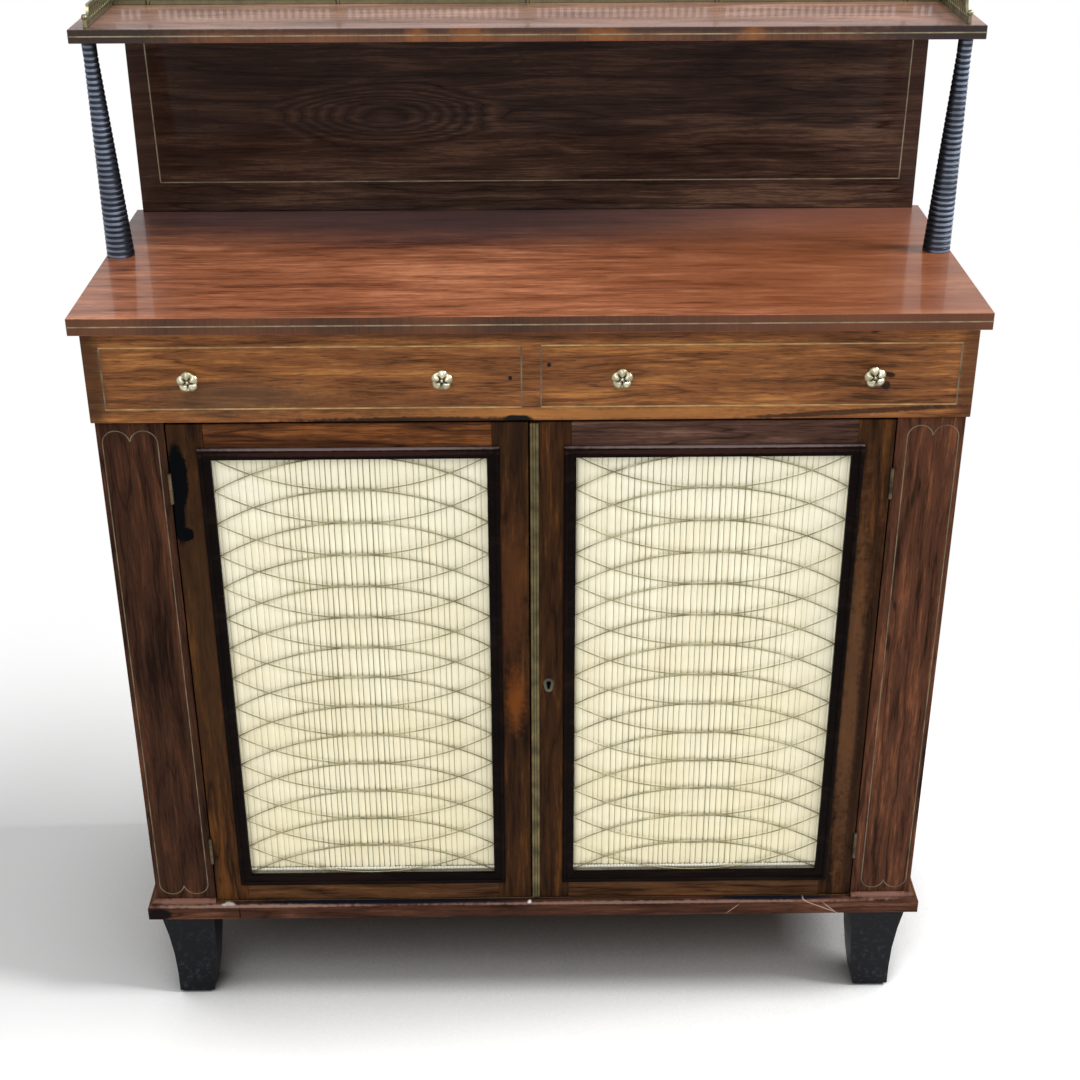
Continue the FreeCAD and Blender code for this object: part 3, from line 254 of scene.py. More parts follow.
def rosewood(name, tones, along="x", seed=0, ring_mm=(520, 46), rings=6, streak_mm=(80, 3.2),
             ink=0.7, contrast=0.8, ring_share=0.2, polish=0.0, roughness=0.5, gloss=0.03,
             shade_and_grime=0.8, crown=None, edge_tones=None, core_behind=None, marks=()):
    """A veneer of three tones, dark to light, with its figure along an axis.

    ring_mm and streak_mm are the length and width of one figure and of one streak, and
    rings is how many contour lines a figure is cut into. ink, contrast and ring_share
    say how strongly the lines, the streaks and the rings show. crown is the centre and
    half size of a crown cut in mm, and how many rings it adds. The pine core shows
    where y is past core_behind, in mm.
    """
    material, tree = blank_material(name)
    coordinates = add(tree, "TexCoord", {})
    here = coordinates.outputs["Object"]
    moved = add(tree, "VectorMath", {0: here, 1: (seed * 1.37, seed * 0.71, seed * 2.13)},
                operation="ADD")
    wander = add(tree, "TexNoise", {"Vector": moved, "Scale": 6, "Detail": 3})
    shift = add(tree, "VectorMath", {0: wander.outputs["Color"], 1: (0.5, 0.5, 0.5)},
                operation="SUBTRACT")
    bent = add(tree, "VectorMath", {0: shift, 1: (9 * MM,) * 3, 2: moved},
               operation="MULTIPLY_ADD")
    layers = {}
    for layer, size_mm, detail, coarse in (("figure", ring_mm, 3, 0.55),
                                           ("streaks", streak_mm, 5, 0.72),
                                           ("clouds", (230, 42), 5, 0.66),
                                           ("pores", (15, 0.9), 1, 0.5)):
        stretched = add(tree, "Mapping", {"Vector": bent, "Scale": grain_scale(along, size_mm)})
        layers[layer] = add(tree, "TexNoise", {"Vector": stretched, "Scale": 1, "Detail": detail,
                                               "Roughness": coarse})

    figure = add(tree, "Math", {0: layers["figure"], 1: rings * 2.4}, operation="MULTIPLY")
    if crown:
        centre, size, rise = crown
        oval = add(tree, "Mapping", {"Vector": here, "Location": [MM * c for c in centre],
                                     "Scale": [MM * s for s in size]}, vector_type="TEXTURE")
        oval = add(tree, "VectorMath", {0: oval}, operation="LENGTH").outputs["Value"]
        hill = add(tree, "MapRange", {0: oval, 3: rise, 4: 0.0}, interpolation_type="SMOOTHSTEP")
        figure = add(tree, "Math", {0: figure, 1: hill}, operation="ADD")
    wave = add(tree, "Math", {0: figure, 1: 1.0}, operation="PINGPONG")
    tone = add(tree, "Math", {0: layers["clouds"], 1: 1.1}, operation="MULTIPLY")
    tone = add(tree, "Math", {0: wave, 1: ring_share, 2: tone}, operation="MULTIPLY_ADD")
    tone = add(tree, "Math", {0: layers["streaks"], 1: 1.1 * contrast, 2: tone},
               operation="MULTIPLY_ADD")
    middle = 0.55 + ring_share / 2 + 0.55 * contrast    # the mean of tone
    dark = add(tree, "MapRange", {0: tone, 1: middle - 0.3, 2: middle + 0.02},
               interpolation_type="SMOOTHSTEP")
    light = add(tree, "MapRange", {0: tone, 1: middle, 2: middle + 0.3},
                interpolation_type="SMOOTHSTEP")
    colour = add(tree, "Mix", {0: dark, 6: linear(tones[0]), 7: linear(tones[1])},
                 data_type="RGBA")
    colour = add(tree, "Mix", {0: light, 6: colour, 7: linear(tones[2])}, data_type="RGBA")
    line = add(tree, "MapRange", {0: wave, 1: 0.0, 2: 0.16, 3: ink, 4: 0.0},
               interpolation_type="SMOOTHSTEP")
    patch = add(tree, "MapRange", {0: layers["clouds"], 1: 0.42, 2: 0.6})
    inked = add(tree, "Math", {0: line, 1: patch}, operation="MULTIPLY")
    colour = add(tree, "Mix", {0: inked, 6: colour, 7: linear("#140B08")}, data_type="RGBA")
    pores = add(tree, "MapRange", {0: layers["pores"], 1: 0.56, 2: 0.72, 3: 0.0, 4: 0.5})
    colour = add(tree, "Mix", {0: pores, 6: colour, 7: linear("#1A0E09")}, data_type="RGBA")

    if edge_tones:
        facing = add(tree, "SeparateXYZ", {0: coordinates.outputs["Normal"]}).outputs["Z"]
        facing = add(tree, "Math", {0: facing}, operation="ABSOLUTE")
        edge = add(tree, "Math", {0: facing, 1: 0.5}, operation="LESS_THAN")
        # An upright mark is 2 mm wide and 42 mm tall, and its scale is per metre.
        upright = add(tree, "Mapping", {"Vector": here, "Scale": (480, 480, 24)})
        fine = add(tree, "TexNoise", {"Vector": upright, "Scale": 1, "Detail": 2})
        broad = add(tree, "TexNoise", {"Vector": here, "Scale": 12, "Detail": 3})
        blocks = add(tree, "Math", {0: fine, 1: 0.4, 2: broad}, operation="MULTIPLY_ADD")
        blocks = add(tree, "MapRange", {0: blocks, 1: 0.46, 2: 0.94})
        band = add(tree, "Mix", {0: blocks, 6: linear(edge_tones[0]), 7: linear(edge_tones[1])},
                   data_type="RGBA")
        colour = add(tree, "Mix", {0: edge, 6: colour, 7: band}, data_type="RGBA")
    if core_behind is not None:
        deep = add(tree, "SeparateXYZ", {0: here}).outputs["Y"]
        core = add(tree, "MapRange", {0: deep, 1: core_behind * MM, 2: (core_behind + 0.2) * MM})
        planed = add(tree, "Mix", {0: layers["streaks"], 6: linear(PINE[0]), 7: linear(PINE[2])},
                     data_type="RGBA")
        colour = add(tree, "Mix", {0: core, 6: colour, 7: planed}, data_type="RGBA")

    ragged = add(tree, "TexNoise", {"Vector": here, "Scale": 170, "Detail": 4})
    for centre, size, slope, rag, soft, mark_colour, strength in marks:
        spot = add(tree, "Mapping", {"Vector": here, "Location": [MM * c for c in centre],
                                     "Rotation": (0, -math.radians(slope), 0),
                                     "Scale": [MM * s for s in size]}, vector_type="TEXTURE")
        reach = add(tree, "VectorMath", {0: spot}, operation="LENGTH").outputs["Value"]
        reach = add(tree, "Math", {0: ragged, 1: 2 * rag, 2: reach}, operation="MULTIPLY_ADD")
        mark = add(tree, "MapRange", {0: reach, 1: 1 + rag + soft, 2: 1 + rag - soft,
                                      3: 0.0, 4: strength}, interpolation_type="SMOOTHSTEP")
        colour = add(tree, "Mix", {0: mark, 6: colour, 7: linear(mark_colour)}, data_type="RGBA")
    # Painted shade and dirt: ambient occlusion darkens corners and crevices towards near-black.
    open_air = add(tree, "AmbientOcclusion", {"Distance": 5 * MM}, samples=4).outputs["AO"]
    occlusion_darkening = add(tree, "MapRange", {0: open_air, 1: 0.75, 2: 0.3, 3: 0.0, 4: shade_and_grime})
    colour = add(tree, "Mix", {0: occlusion_darkening, 6: colour, 7: linear("#0A0706")}, data_type="RGBA")

    sheen = add(tree, "MapRange", {0: layers["streaks"], 1: 0.3, 2: 0.7,
                                   3: roughness - 0.06, 4: roughness + 0.08})
    bump = add(tree, "Bump", {"Strength": 0.1, "Distance": 0.3 * MM, "Height": layers["streaks"]})
    shader = add(tree, "BsdfPrincipled", {
        "Base Color": colour, "Roughness": sheen, "Normal": bump, "Specular IOR Level": gloss,
        "Coat Weight": polish, "Coat Roughness": 0.08})
    add(tree, "OutputMaterial", {"Surface": shader})
    return material


# %% [markdown]
# Fresh rosewood is purplish and nearly black. Light turns it brown and in the end
# orange, so one veneer differs from face to face: the frieze has faded most, the tops
# are red, and the stiles in their shade have stayed dark. The red tones of the top are
# also mixed with a pinkish grey, a painted sheen of its polish. Each set of tones has a
# dark, a middle and a light one.

# %% Tones of the veneers
DARK = ("#1A0F08", "#382212", "#5E3A1B")
WARM = ("#22120A", "#52301B", "#84502A")
MUTED = ("#221611", "#4C352C", "#745648")
RUBBED = ("#26170E", "#553822", "#805634")
RED_BROWN = ("#1A0E09", "#3A2419", "#5A3625")
RUSSET = ("#22140D", "#4E3022", "#7A4B32")
DEEP = ("#2A1B15", "#433028", "#664C3C")
BLACKENED = ("#060403", "#0C0706", "#1A100D")
FADED = ("#40250F", "#7A4B29", "#A8703C")
# The top's tones hold a pinkish grey: a painted sheen of the polish.
TOP_TONES = ("#4A2516", "#8B5338", "#B67856")
SHELF_TONES = ("#4A2C24", "#7C5648", "#A07A6A")
print("middle tone of the frieze", FADED[1], "and of the top", TOP_TONES[1])

# %% [markdown]
# The top and the shelf are French polished: many thin coats of shellac, rubbed level,
# so they have a clear coat over the wood, while the upright faces keep only a faint
# sheen of old oil. The back of the top, under the shelf, carries a painted reflection
# of the dark splat, darker and cooler. The front edge of the shelf is black at both ends
# and worn through to orange in places. The splat, the board between the two, shows a
# crown left of its middle, where the saw ran along the heart of the log.

# %% The tops and the splat
# The first mark is a painted reflection of the dark splat on the back of the top.
top_marks = (((0, 196, 883), (620, 125, 30), 0, 0.1, 0.5, "#50454A", 0.78),
             ((400, -10, 883), (270, 280, 30), 0, 0.1, 0.6, "#6A3A20", 0.62))
dress(rosewood("polished_rosewood_top", TOP_TONES, seed=1, polish=0.3, gloss=0.15, ink=0.3,
               contrast=0.85, streak_mm=(46, 2.0), edge_tones=("#321809", "#5E351B"),
               roughness=0.4, marks=top_marks), "main_top")
shelf_marks = (
    ((0, 9, 1122), (410, 5, 3), 0, 0.5, 0.4, "#2A1B16", 0.7),
    *(((x, 9, 1116), (wide, 5, 9), 0, 0.8, 0.7, "#8E5424", 0.6)
      for x, wide in ((-115, 10), (-62, 18), (76, 22), (231, 11))),
    ((-428, 9, 1117), (75, 6, 14), 0, 0.5, 0.6, "#1E1614", 0.85),
    ((432, 9, 1117), (95, 6, 14), 0, 0.5, 0.6, "#1C1517", 0.9),
)
dress(rosewood("polished_rosewood_shelf", SHELF_TONES, seed=2, polish=0.25, gloss=0.2, ink=0.3,
               contrast=0.7, streak_mm=(50, 2.2), edge_tones=("#3C2214", "#74482C"),
               roughness=0.4, marks=shelf_marks), "upper_shelf")
splat_marks = (((-445, 176, 1000), (26, 9, 130), 0, 0.3, 0.6, "#3A2014", 0.6),
               ((-330, 176, 1000), (100, 9, 90), 0, 0.6, 0.9, "#2E170C", 0.5),
               ((447, 176, 1000), (24, 9, 130), 0, 0.3, 0.6, "#38221A", 0.55))
crown_cut = ((-162, 176, 995), (150, 300, 46), 13.0)
dress(rosewood("dark_rosewood_back", DEEP, seed=3, ring_mm=(700, 40), rings=5, ring_share=0.3,
               contrast=1.1, ink=0.7, polish=0.12, crown=crown_cut, streak_mm=(60, 2.0),
               core_behind=185.5, marks=splat_marks), "back_panel")

# %% [markdown]
# The frieze is the front of the long drawer. It has a grey water stain by the left
# knob, two dark plugs, a bruise behind the right knob, a painted shadow along its top
# under the overhanging top, and a lower edge that hands have chipped, painted dark along
# the chips as their shadow. Only its face is veneered, and the rest of the board is pine.

# %% The frieze
frieze_marks = (
    ((-300, -166, 789), (80, 9, 17), 0, 0.6, 0.6, "#463628", 0.6),
    ((-150, -166, 780), (95, 9, 9), 0, 0.6, 0.6, "#54341E", 0.5),
    ((-452, -166, 812), (18, 9, 70), 0, 0.3, 0.4, "#3A2412", 0.75),
    ((452, -166, 812), (16, 9, 70), 0, 0.3, 0.4, "#4A2C18", 0.7),
    # A darker band along the top of the frieze is painted shade under the overhanging top.
    ((0, -166, 865), (470, 9, 9), 0, 0.3, 0.5, "#5A3822", 0.5),
    ((60, -166, 770), (200, 9, 6), 0, 0.5, 0.5, "#A8703A", 0.5),
    # Dark strips along the chipped lower edge are painted shadow.
    ((330, -166, 770), (115, 9, 3), 3, 0.5, 0.3, "#2A180E", 0.85),
    ((-118, -166, 763), (128, 9, 4.5), 0, 0.6, 0.3, "#1C110C", 0.9),
    ((-14, -166, 765), (15, 9, 4), 0, 0.3, 0.2, "#0C0806", 1.0),
    ((-21.5, -166, 810), (2.2, 9, 2.4), 0, 0.1, 0.2, "#1E120B", 1.0),
    ((18, -166, 824), (2.2, 9, 2.4), 0, 0.1, 0.2, "#1E120B", 1.0),
    ((364.7, -166, 811), (6.5, 9, 3), -10, 0.3, 0.2, "#241008", 0.95),
    ((362.7, -166, 799), (4.5, 9, 4.5), 0, 0.3, 0.2, "#241008", 0.9),
    ((347, -166, 860), (5, 9, 4), 20, 0.4, 0.2, "#2A180E", 0.8),
)
dress(rosewood("faded_rosewood_frieze", FADED, seed=4, ink=0.5, contrast=0.9, gloss=0.12,
               streak_mm=(46, 2.2), core_behind=-141, marks=frieze_marks), "drawer_front")

# %% [markdown]
# A door is a frame of two stiles and two rails, each veneered by itself, so each has a
# seed of its own and grain along its length. The left hinge stile was once scorched
# black, the left meeting stile has an orange knot and a painted shadow at its top, and
# the right hinge stile a pale streak. The pilasters beside the doors are redder. The
# mouldings round the silk are stained black and polished, and the bead of each top
# member carries a painted highlight.

# %% The doors and the pilasters
burnt_hinge = (((-358, -162, 500), (18, 9, 190), 0, 0.6, 0.8, "#4A3420", 0.35),
               ((-370, -162, 702), (10, 20, 36), 0, 0.3, 0.15, "#030406", 1.0),
               ((-374, -162, 658), (7, 20, 38), 0, 0.3, 0.15, "#030406", 1.0),
               ((-368, -162, 632), (8, 20, 8), 0, 0.4, 0.15, "#030406", 1.0))
knot_and_shadow = (((-19, -162, 420), (9, 9, 30), 0, 0.9, 0.9, "#8E4E1E", 0.45),
               ((-22, -162, 560), (14, 9, 70), 0, 0.8, 0.8, "#52301A", 0.6),
               # The dark patch at the top of the meeting stile is painted shadow under the frieze.
               ((-20, -162, 740), (30, 9, 40), 0, 0.5, 0.8, "#20160E", 0.7))
pale_streak = (((357, -162, 420), (10, 9, 190), 1, 1.2, 0.7, "#6A4830", 0.5),
               ((372, -162, 420), (5, 9, 240), 0, 0.6, 0.6, "#1A100B", 0.7))
stile_marks = {"left_hinge_stile": burnt_hinge, "left_meeting_stile": knot_and_shadow,
               "right_hinge_stile": pale_streak}
for seed, name, tones in ((10, "left_top_rail", WARM), (11, "right_top_rail", MUTED)):
    dress(rosewood("rosewood_" + name, tones, seed=seed, streak_mm=(60, 2.4)), name)
for seed, name in enumerate(("left_bottom_rail", "right_bottom_rail"), 14):
    dress(rosewood("rosewood_" + name, RUBBED, seed=seed, streak_mm=(60, 2.4)), name)
for seed, name in enumerate(("left_hinge_stile", "left_meeting_stile", "right_meeting_stile",
                             "right_hinge_stile"), 20):
    dress(rosewood("rosewood_" + name, DARK, "z", seed=seed, streak_mm=(60, 4),
                   marks=stile_marks.get(name, ())), name)
for seed, name, tones in ((24, "left_pilaster", RED_BROWN), (25, "right_pilaster", RUSSET)):
    dress(rosewood("rosewood_" + name, tones, "z", seed=seed, streak_mm=(60, 2.6)), name)
# Each top moulding gets a browner face and a pale line along its bead. The pale line is a painted
# highlight.
moulding_marks = tuple(
    mark for x in (-190.5, 190.5)
    for mark in (((x, -167, 726), (150, 9, 3.5), 0, 0.3, 0.3, "#38201A", 0.8),
                 ((x, -166, 732), (158, 6, 1.3), 0, 0.3, 0.4, "#7E6E6C", 0.8)))
dress(rosewood("blackened_rosewood_moulding", BLACKENED, seed=32, gloss=0.03, shade_and_grime=1.0,
               marks=moulding_marks), "left_moulding", "right_moulding")

# %% [markdown]
# The plinth takes the knocks. Its ledge under the doors is painted blue-black, as shade
# with a bluish reflection and a few glints, its rounds carry a painted highlight along
# their crests, and the flat below has scratches, a dark joint and a burnt end.

# %% The plinth and the sides
plinth_marks = (
    # The blue-black ledge under the doors is painted shade with a painted bluish reflection.
    ((-185, -165, 140), (182, 6, 2.2), 0, 0.2, 0.2, "#10141E", 1.0),
    ((290, -165, 140), (82, 6, 2.2), 0, 0.2, 0.2, "#10141E", 0.95),
    # Pale bands on the rounds at the pilasters and along the lower bead are painted highlights.
    ((-415, -167, 142), (38, 9, 3.4), 0, 0.6, 0.4, "#8A6458", 0.6),
    ((415, -167, 142), (38, 9, 3.4), 0, 0.6, 0.4, "#8A6458", 0.55),
    ((-330, -171, 137.6), (120, 4, 1.4), 0, 0.7, 0.4, "#8E7266", 0.7),
    ((130, -171, 137.8), (240, 4, 1.2), 0, 0.7, 0.4, "#8A6E62", 0.6),
    # Two pale spots on the ledge are painted glints.
    ((-364, -170, 140), (9, 7, 1.8), 0, 0.7, 0.3, "#B4ACA2", 1.0),
    ((-5, -170, 141), (3.5, 6, 3.5), 0, 0.4, 0.2, "#C8C4C0", 1.0),
    ((-351, -172, 127), (0.9, 4, 9), 0, 0.1, 0.3, "#140C08", 0.9),
    ((-447, -172, 127), (15, 7, 9), 0, 0.2, 0.2, "#0E0C0C", 0.95),
    ((342, -170, 130), (28, 9, 0.55), -24, 0.2, 0.4, "#B89C90", 0.85),
    ((354, -170, 128), (12, 9, 0.5), -42, 0.2, 0.4, "#B89C90", 0.85),
    ((238, -172, 128), (10, 4, 0.5), 42, 0.2, 0.4, "#A88C80", 0.8),
)
dress(rosewood("rosewood_plinth", ("#20120D", "#442A1F", "#6A4634"), seed=16, marks=plinth_marks),
      "plinth_front")
dress(rosewood("rosewood_sides", DARK, "z", seed=30, streak_mm=(70, 2.6), contrast=0.6),
      "left_side", "right_side")
dress(rosewood("rosewood_plinth_sides", RUBBED, "y", seed=31), "plinth_left", "plinth_right")

# %% [markdown]
# Ebonised wood is a close-grained timber stained black and polished, so it shows cold
# highlights and no grain. On the feet it is only scuffed grey near the floor. On a
# column a painted highlight of pale slate grey lies along the crest of every ring, on
# the side that faces outwards, while the grooves and the side towards the splat are
# painted black, as shade and as the dark reflection of the splat. The height of a point,
# counted in rings, tells the shader how far it is from the nearest groove.

# %% Ebonised wood
def ebonised_wood(name, body_colour, wear_and_highlight_colour, wear_and_highlight, gloss):
    """Black stained wood. wear_and_highlight is a function that gives the share of the pale colour:
    wear on the feet, a painted highlight on the columns.
    """
    material, tree = blank_material(name)
    share = wear_and_highlight(tree, add(tree, "TexCoord", {}))
    colour = add(tree, "Mix", {0: share, 6: linear(body_colour), 7: linear(wear_and_highlight_colour)},
                 data_type="RGBA")
    shader = add(tree, "BsdfPrincipled", {"Base Color": colour, "Roughness": 0.36,
                                          "Specular IOR Level": gloss})
    add(tree, "OutputMaterial", {"Surface": shader})
    return material


def scuffed_foot(tree, coordinates):
    """Fine grey wear that thins out upwards from the floor."""
    here = coordinates.outputs["Object"]
    height = add(tree, "SeparateXYZ", {0: here}).outputs["Z"]
    low = add(tree, "MapRange", {0: height, 1: 0.12, 2: 0.0, 3: 0.08, 4: 0.5})
    specks = add(tree, "TexNoise", {"Vector": here, "Scale": 150, "Detail": 6, "Roughness": 0.7})
    specks = add(tree, "MapRange", {0: specks, 1: 0.52, 2: 0.8})
    return add(tree, "Math", {0: low, 1: specks}, operation="MULTIPLY")


def highlit_rings(tree, coordinates):
    """Painted highlights on the crests of a column's rings, on their outer faces."""
    here = coordinates.outputs["Object"]
    place = add(tree, "SeparateXYZ", {0: here})
    rings = add(tree, "MapRange", {0: place.outputs["Z"], 1: FIRST_GROOVE * MM,
                                   2: (FIRST_GROOVE + RING_PITCH) * MM}, clamp=False)
    phase = add(tree, "Math", {0: rings}, operation="FRACT")
    crest = add(tree, "MapRange", {0: phase, 1: 0.3, 2: 0.5}, interpolation_type="SMOOTHSTEP")
    fall = add(tree, "MapRange", {0: phase, 1: 0.92, 2: 0.74}, interpolation_type="SMOOTHSTEP")
    crest = add(tree, "Math", {0: crest, 1: fall}, operation="MULTIPLY")
    side = add(tree, "Math", {0: place.outputs["X"]}, operation="SIGN")
    outward = add(tree, "SeparateXYZ", {0: coordinates.outputs["Normal"]}).outputs["X"]
    outward = add(tree, "Math", {0: outward, 1: side}, operation="MULTIPLY")
    outward = add(tree, "MapRange", {0: outward, 1: -0.75, 2: -0.35, 3: 0.06, 4: 1.0},
                  interpolation_type="SMOOTHSTEP")
    cloudy = add(tree, "TexNoise", {"Vector": here, "Scale": 45, "Detail": 3})
    cloudy = add(tree, "MapRange", {0: cloudy, 1: 0.3, 2: 0.7, 3: 0.55, 4: 1.0})
    crest = add(tree, "MapRange", {0: crest, 3: 0.12, 4: 1.0})
    share = add(tree, "Math", {0: crest, 1: outward}, operation="MULTIPLY")
    return add(tree, "Math", {0: share, 1: cloudy}, operation="MULTIPLY")


NECK, RINGS = 16, 38    # mm of plain column at its head, and how many rings are below it
column_low, column_high = (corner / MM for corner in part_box("left_column"))
FIRST_GROOVE = column_low.z
RING_PITCH = (column_high.z - column_low.z - NECK) / RINGS
print("one ring every", round(RING_PITCH, 2), "mm")
# The pale slate grey of the columns is the painted highlight of their rings.
dress(ebonised_wood("ebonised_columns", "#05060A", "#808A9E", highlit_rings, gloss=0.12),
      "left_column", "right_column")
dress(ebonised_wood("ebonised_feet", "#0A0C10", "#565C64", scuffed_foot, gloss=0.12),
      "front_left_foot", "rear_left_foot", "front_right_foot", "rear_right_foot")

# %% [markdown]
# Old brass is never one colour: bright where it is rubbed, brown or olive where it is
# not, and nearly black in every hollow. Ambient occlusion over a short distance finds
# the hollows for the shader. The steel of pins and bolt is filed bright, with rust in
# patches.

# %% Brass and steel
def old_brass(name, bright, dull, hollow="#1E1A12", reach_mm=1.5, roughness=0.4, metal=0.9):
    """Rolled or cast brass: bright on its crests, dull in clouds, dark in its hollows."""
    material, tree = blank_material(name)
    here = add(tree, "TexCoord", {}).outputs["Object"]
    clouds = add(tree, "TexNoise", {"Vector": here, "Scale": 55, "Detail": 5})
    clouds = add(tree, "MapRange", {0: clouds, 1: 0.35, 2: 0.65})
    colour = add(tree, "Mix", {0: clouds, 6: linear(bright), 7: linear(dull)}, data_type="RGBA")
    open_air = add(tree, "AmbientOcclusion", {"Distance": reach_mm * MM}, samples=6).outputs["AO"]
    occlusion_darkening = add(tree, "MapRange", {0: open_air, 1: 0.85, 2: 0.35})
    colour = add(tree, "Mix", {0: occlusion_darkening, 6: colour, 7: linear(hollow)}, data_type="RGBA")
    rough = add(tree, "MapRange", {0: clouds, 3: roughness - 0.1, 4: roughness + 0.1})
    shader = add(tree, "BsdfPrincipled", {"Base Color": colour, "Roughness": rough,
                                          "Metallic": metal})
    add(tree, "OutputMaterial", {"Surface": shader})
    return material


def filed_steel(name):
    """Filed steel of hinge pins and the lock bolt, brown with old rust in patches."""
    material, tree = blank_material(name)
    here = add(tree, "TexCoord", {}).outputs["Object"]
    rust = add(tree, "TexNoise", {"Vector": here, "Scale": 300, "Detail": 4})
    rust = add(tree, "MapRange", {0: rust, 1: 0.45, 2: 0.7})
    colour = add(tree, "Mix", {0: rust, 6: linear("#8C8C88"), 7: linear("#4A3A2C")},
                 data_type="RGBA")
    shader = add(tree, "BsdfPrincipled", {"Base Color": colour, "Metallic": 1.0,
                                          "Roughness": 0.42})
    add(tree, "OutputMaterial", {"Surface": shader})
    return material


dress(old_brass("tarnished_brass_wire", "#A29C78", "#7E7858", reach_mm=0.3, roughness=0.5),
      "left_lattice", "right_lattice")
dress(old_brass("tarnished_brass_strip", "#6E6344", "#4C4530", roughness=0.45),
      "closing_strip")
dress(old_brass("pierced_sheet_brass", "#8C8868", "#6E6A54", roughness=0.35),
      "back_gallery", "left_gallery", "right_gallery", "gallery_posts")
dress(old_brass("hinge_brass", "#6A5C42", "#33291E", roughness=0.5, metal=0.7),
      "left_door_leaves", "right_door_leaves", "case_hinge_leaves", "knob_nuts", "lock_case")
dress(filed_steel("filed_steel"), "hinge_pins", "lock_bolt")

# %% [markdown]
# What no one sees is pine, planed and left bare: the bottom and the inner shelf, the
# sides and bottom of the drawer, and the boards of the back. It has the same build-up
# as rosewood, with broader and softer grain and hardly any ink, in honey brown under a
# century of dust. The back is of upright boards, with dark joints between them.

# %% Planed pine
def planed_pine(name, along, seed, marks=()):
    """Old pine carcase wood: honey brown, broad grain, darker with dust and age."""
    return rosewood(name, PINE, along, seed, ring_mm=(700, 60), rings=9, ring_share=0.5,
                    contrast=0.35, streak_mm=(160, 5), ink=0.15, roughness=0.65, marks=marks)


dress(planed_pine("pine_boards_across", "x", 41), "case_bottom", "dust_board", "inner_shelf",
      "drawer_back", "drawer_bottom", "left_battens", "right_battens")
dress(planed_pine("pine_boards_front_to_back", "y", 42), "left_shelf_bearer",
      "right_shelf_bearer", "drawer_left_side", "drawer_right_side")
board_joints = tuple(((x, 178, 440), (1.1, 25, 900), 0, 0.0, 0.3, "#1E150E", 0.9)
                     for x in (-292, -101, 84, 276))
dress(planed_pine("pine_back_boards", "z", 43, board_joints), "case_back")

# %% [markdown]
# The strings are thin brass lines let into sawn grooves and scraped flush with the
# veneer. Each one is a ribbon along a path on a flat face. At a corner the two edges
# of the ribbon are mitred, by moving the corner along the bisector of its two sides.
# The ribbon stands a hair proud of the wood, which keeps the two surfaces apart.

# %% A string along a path
STRING_WIDTH, STRING_PROUD, STRING_DEPTH = 1.3, 0.06, 0.5    # mm


def mitred(path, offset):
    """The path moved sideways by offset, with mitred corners; path is a list of (u, v)."""
    moved = []
    for i, point in enumerate(path):
        before, after = path[max(i - 1, 0)], path[min(i + 1, len(path) - 1)]
        sides = [Vector(b) - Vector(a) for a, b in ((before, point), (point, after))]
        sides = [side.normalized() for side in sides if side.length > 0]
        normals = [Vector((-side.y, side.x)) for side in sides]
        bisector = sum(normals, Vector((0, 0))).normalized()
        moved.append(Vector(point) + bisector * offset / max(bisector.dot(normals[0]), 0.4))
    return moved


def ribbon(path, place, width=STRING_WIDTH):
    """Corners and faces of one string. place(u, v, out) puts a flat point in the frame."""
    corners, faces = [], []
    for a, b in zip(mitred(path, width / 2), mitred(path, -width / 2)):
        corners += [place(a.x, a.y, STRING_PROUD), place(b.x, b.y, STRING_PROUD),
                    place(b.x, b.y, -STRING_DEPTH), place(a.x, a.y, -STRING_DEPTH)]
    last = len(corners) - 4
    for i in range(0, last, 4):
        faces += [(i + j, i + (j + 1) % 4, i + 4 + (j + 1) % 4, i + 4 + j) for j in range(4)]
    faces += [(3, 2, 1, 0), (last, last + 1, last + 2, last + 3)]
    return corners, faces


def string_piece(name, ribbons, body, material):
    """Several ribbons joined in one piece."""
    corners, faces = [], []
    for more, quads in ribbons:
        faces += [tuple(i + len(corners) for i in quad) for quad in quads]
        corners += more
    return make_piece(name, corners, faces, material, body)


def facing_front(y):
    """Places flat points, in mm, on an upright face at y, in metres."""
    return lambda u, v, out: (u * MM, y - out * MM, v * MM)


bright_string = old_brass("bright_brass_string", "#B4935F", "#8A6E44", roughness=0.5, metal=0.5)
dull_string = old_brass("dull_brass_string", "#74664E", "#4E4230", roughness=0.55, metal=0.3)
grey_string = old_brass("grey_brass_string", "#978C70", "#706650", roughness=0.5, metal=0.5)

# %% [markdown]
# Where the strings run: a rectangle on each half of the long drawer, an open
# rectangle on the splat behind the shelf, a line round the edges of both tops, and on
# each pilaster a long panel with two round lobes at its head and foot. Those lines
# that hands polish stay bright, and the others have gone grey or brown.

# %% The brass strings
FRIEZE_WIDTH = 1.6    # mm, of the frieze strings
FRIEZE_FOOT, FRIEZE_HEAD = 778, 845
drawer_face = facing_front(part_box("drawer_front")[0].y)
string_piece("frieze_long_strings",
             [ribbon([(x0, z), (x1, z)], drawer_face, FRIEZE_WIDTH)
              for x0, x1 in ((-436, -10), (10, 437)) for z in (FRIEZE_FOOT, FRIEZE_HEAD)],
             "drawer", bright_string)
string_piece("frieze_end_strings",
             [ribbon([(x, FRIEZE_FOOT + 1), (x, FRIEZE_HEAD - 1)], drawer_face, FRIEZE_WIDTH)
              for x in (-435.5, -10, 10, 436.8)], "drawer", dull_string)
splat_face = facing_front(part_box("back_panel")[0].y)
string_piece("back_panel_string",
             [ribbon([(-430, 1108), (-427, 918), (432, 918), (434, 1108)], splat_face)],
             "carcase", grey_string)


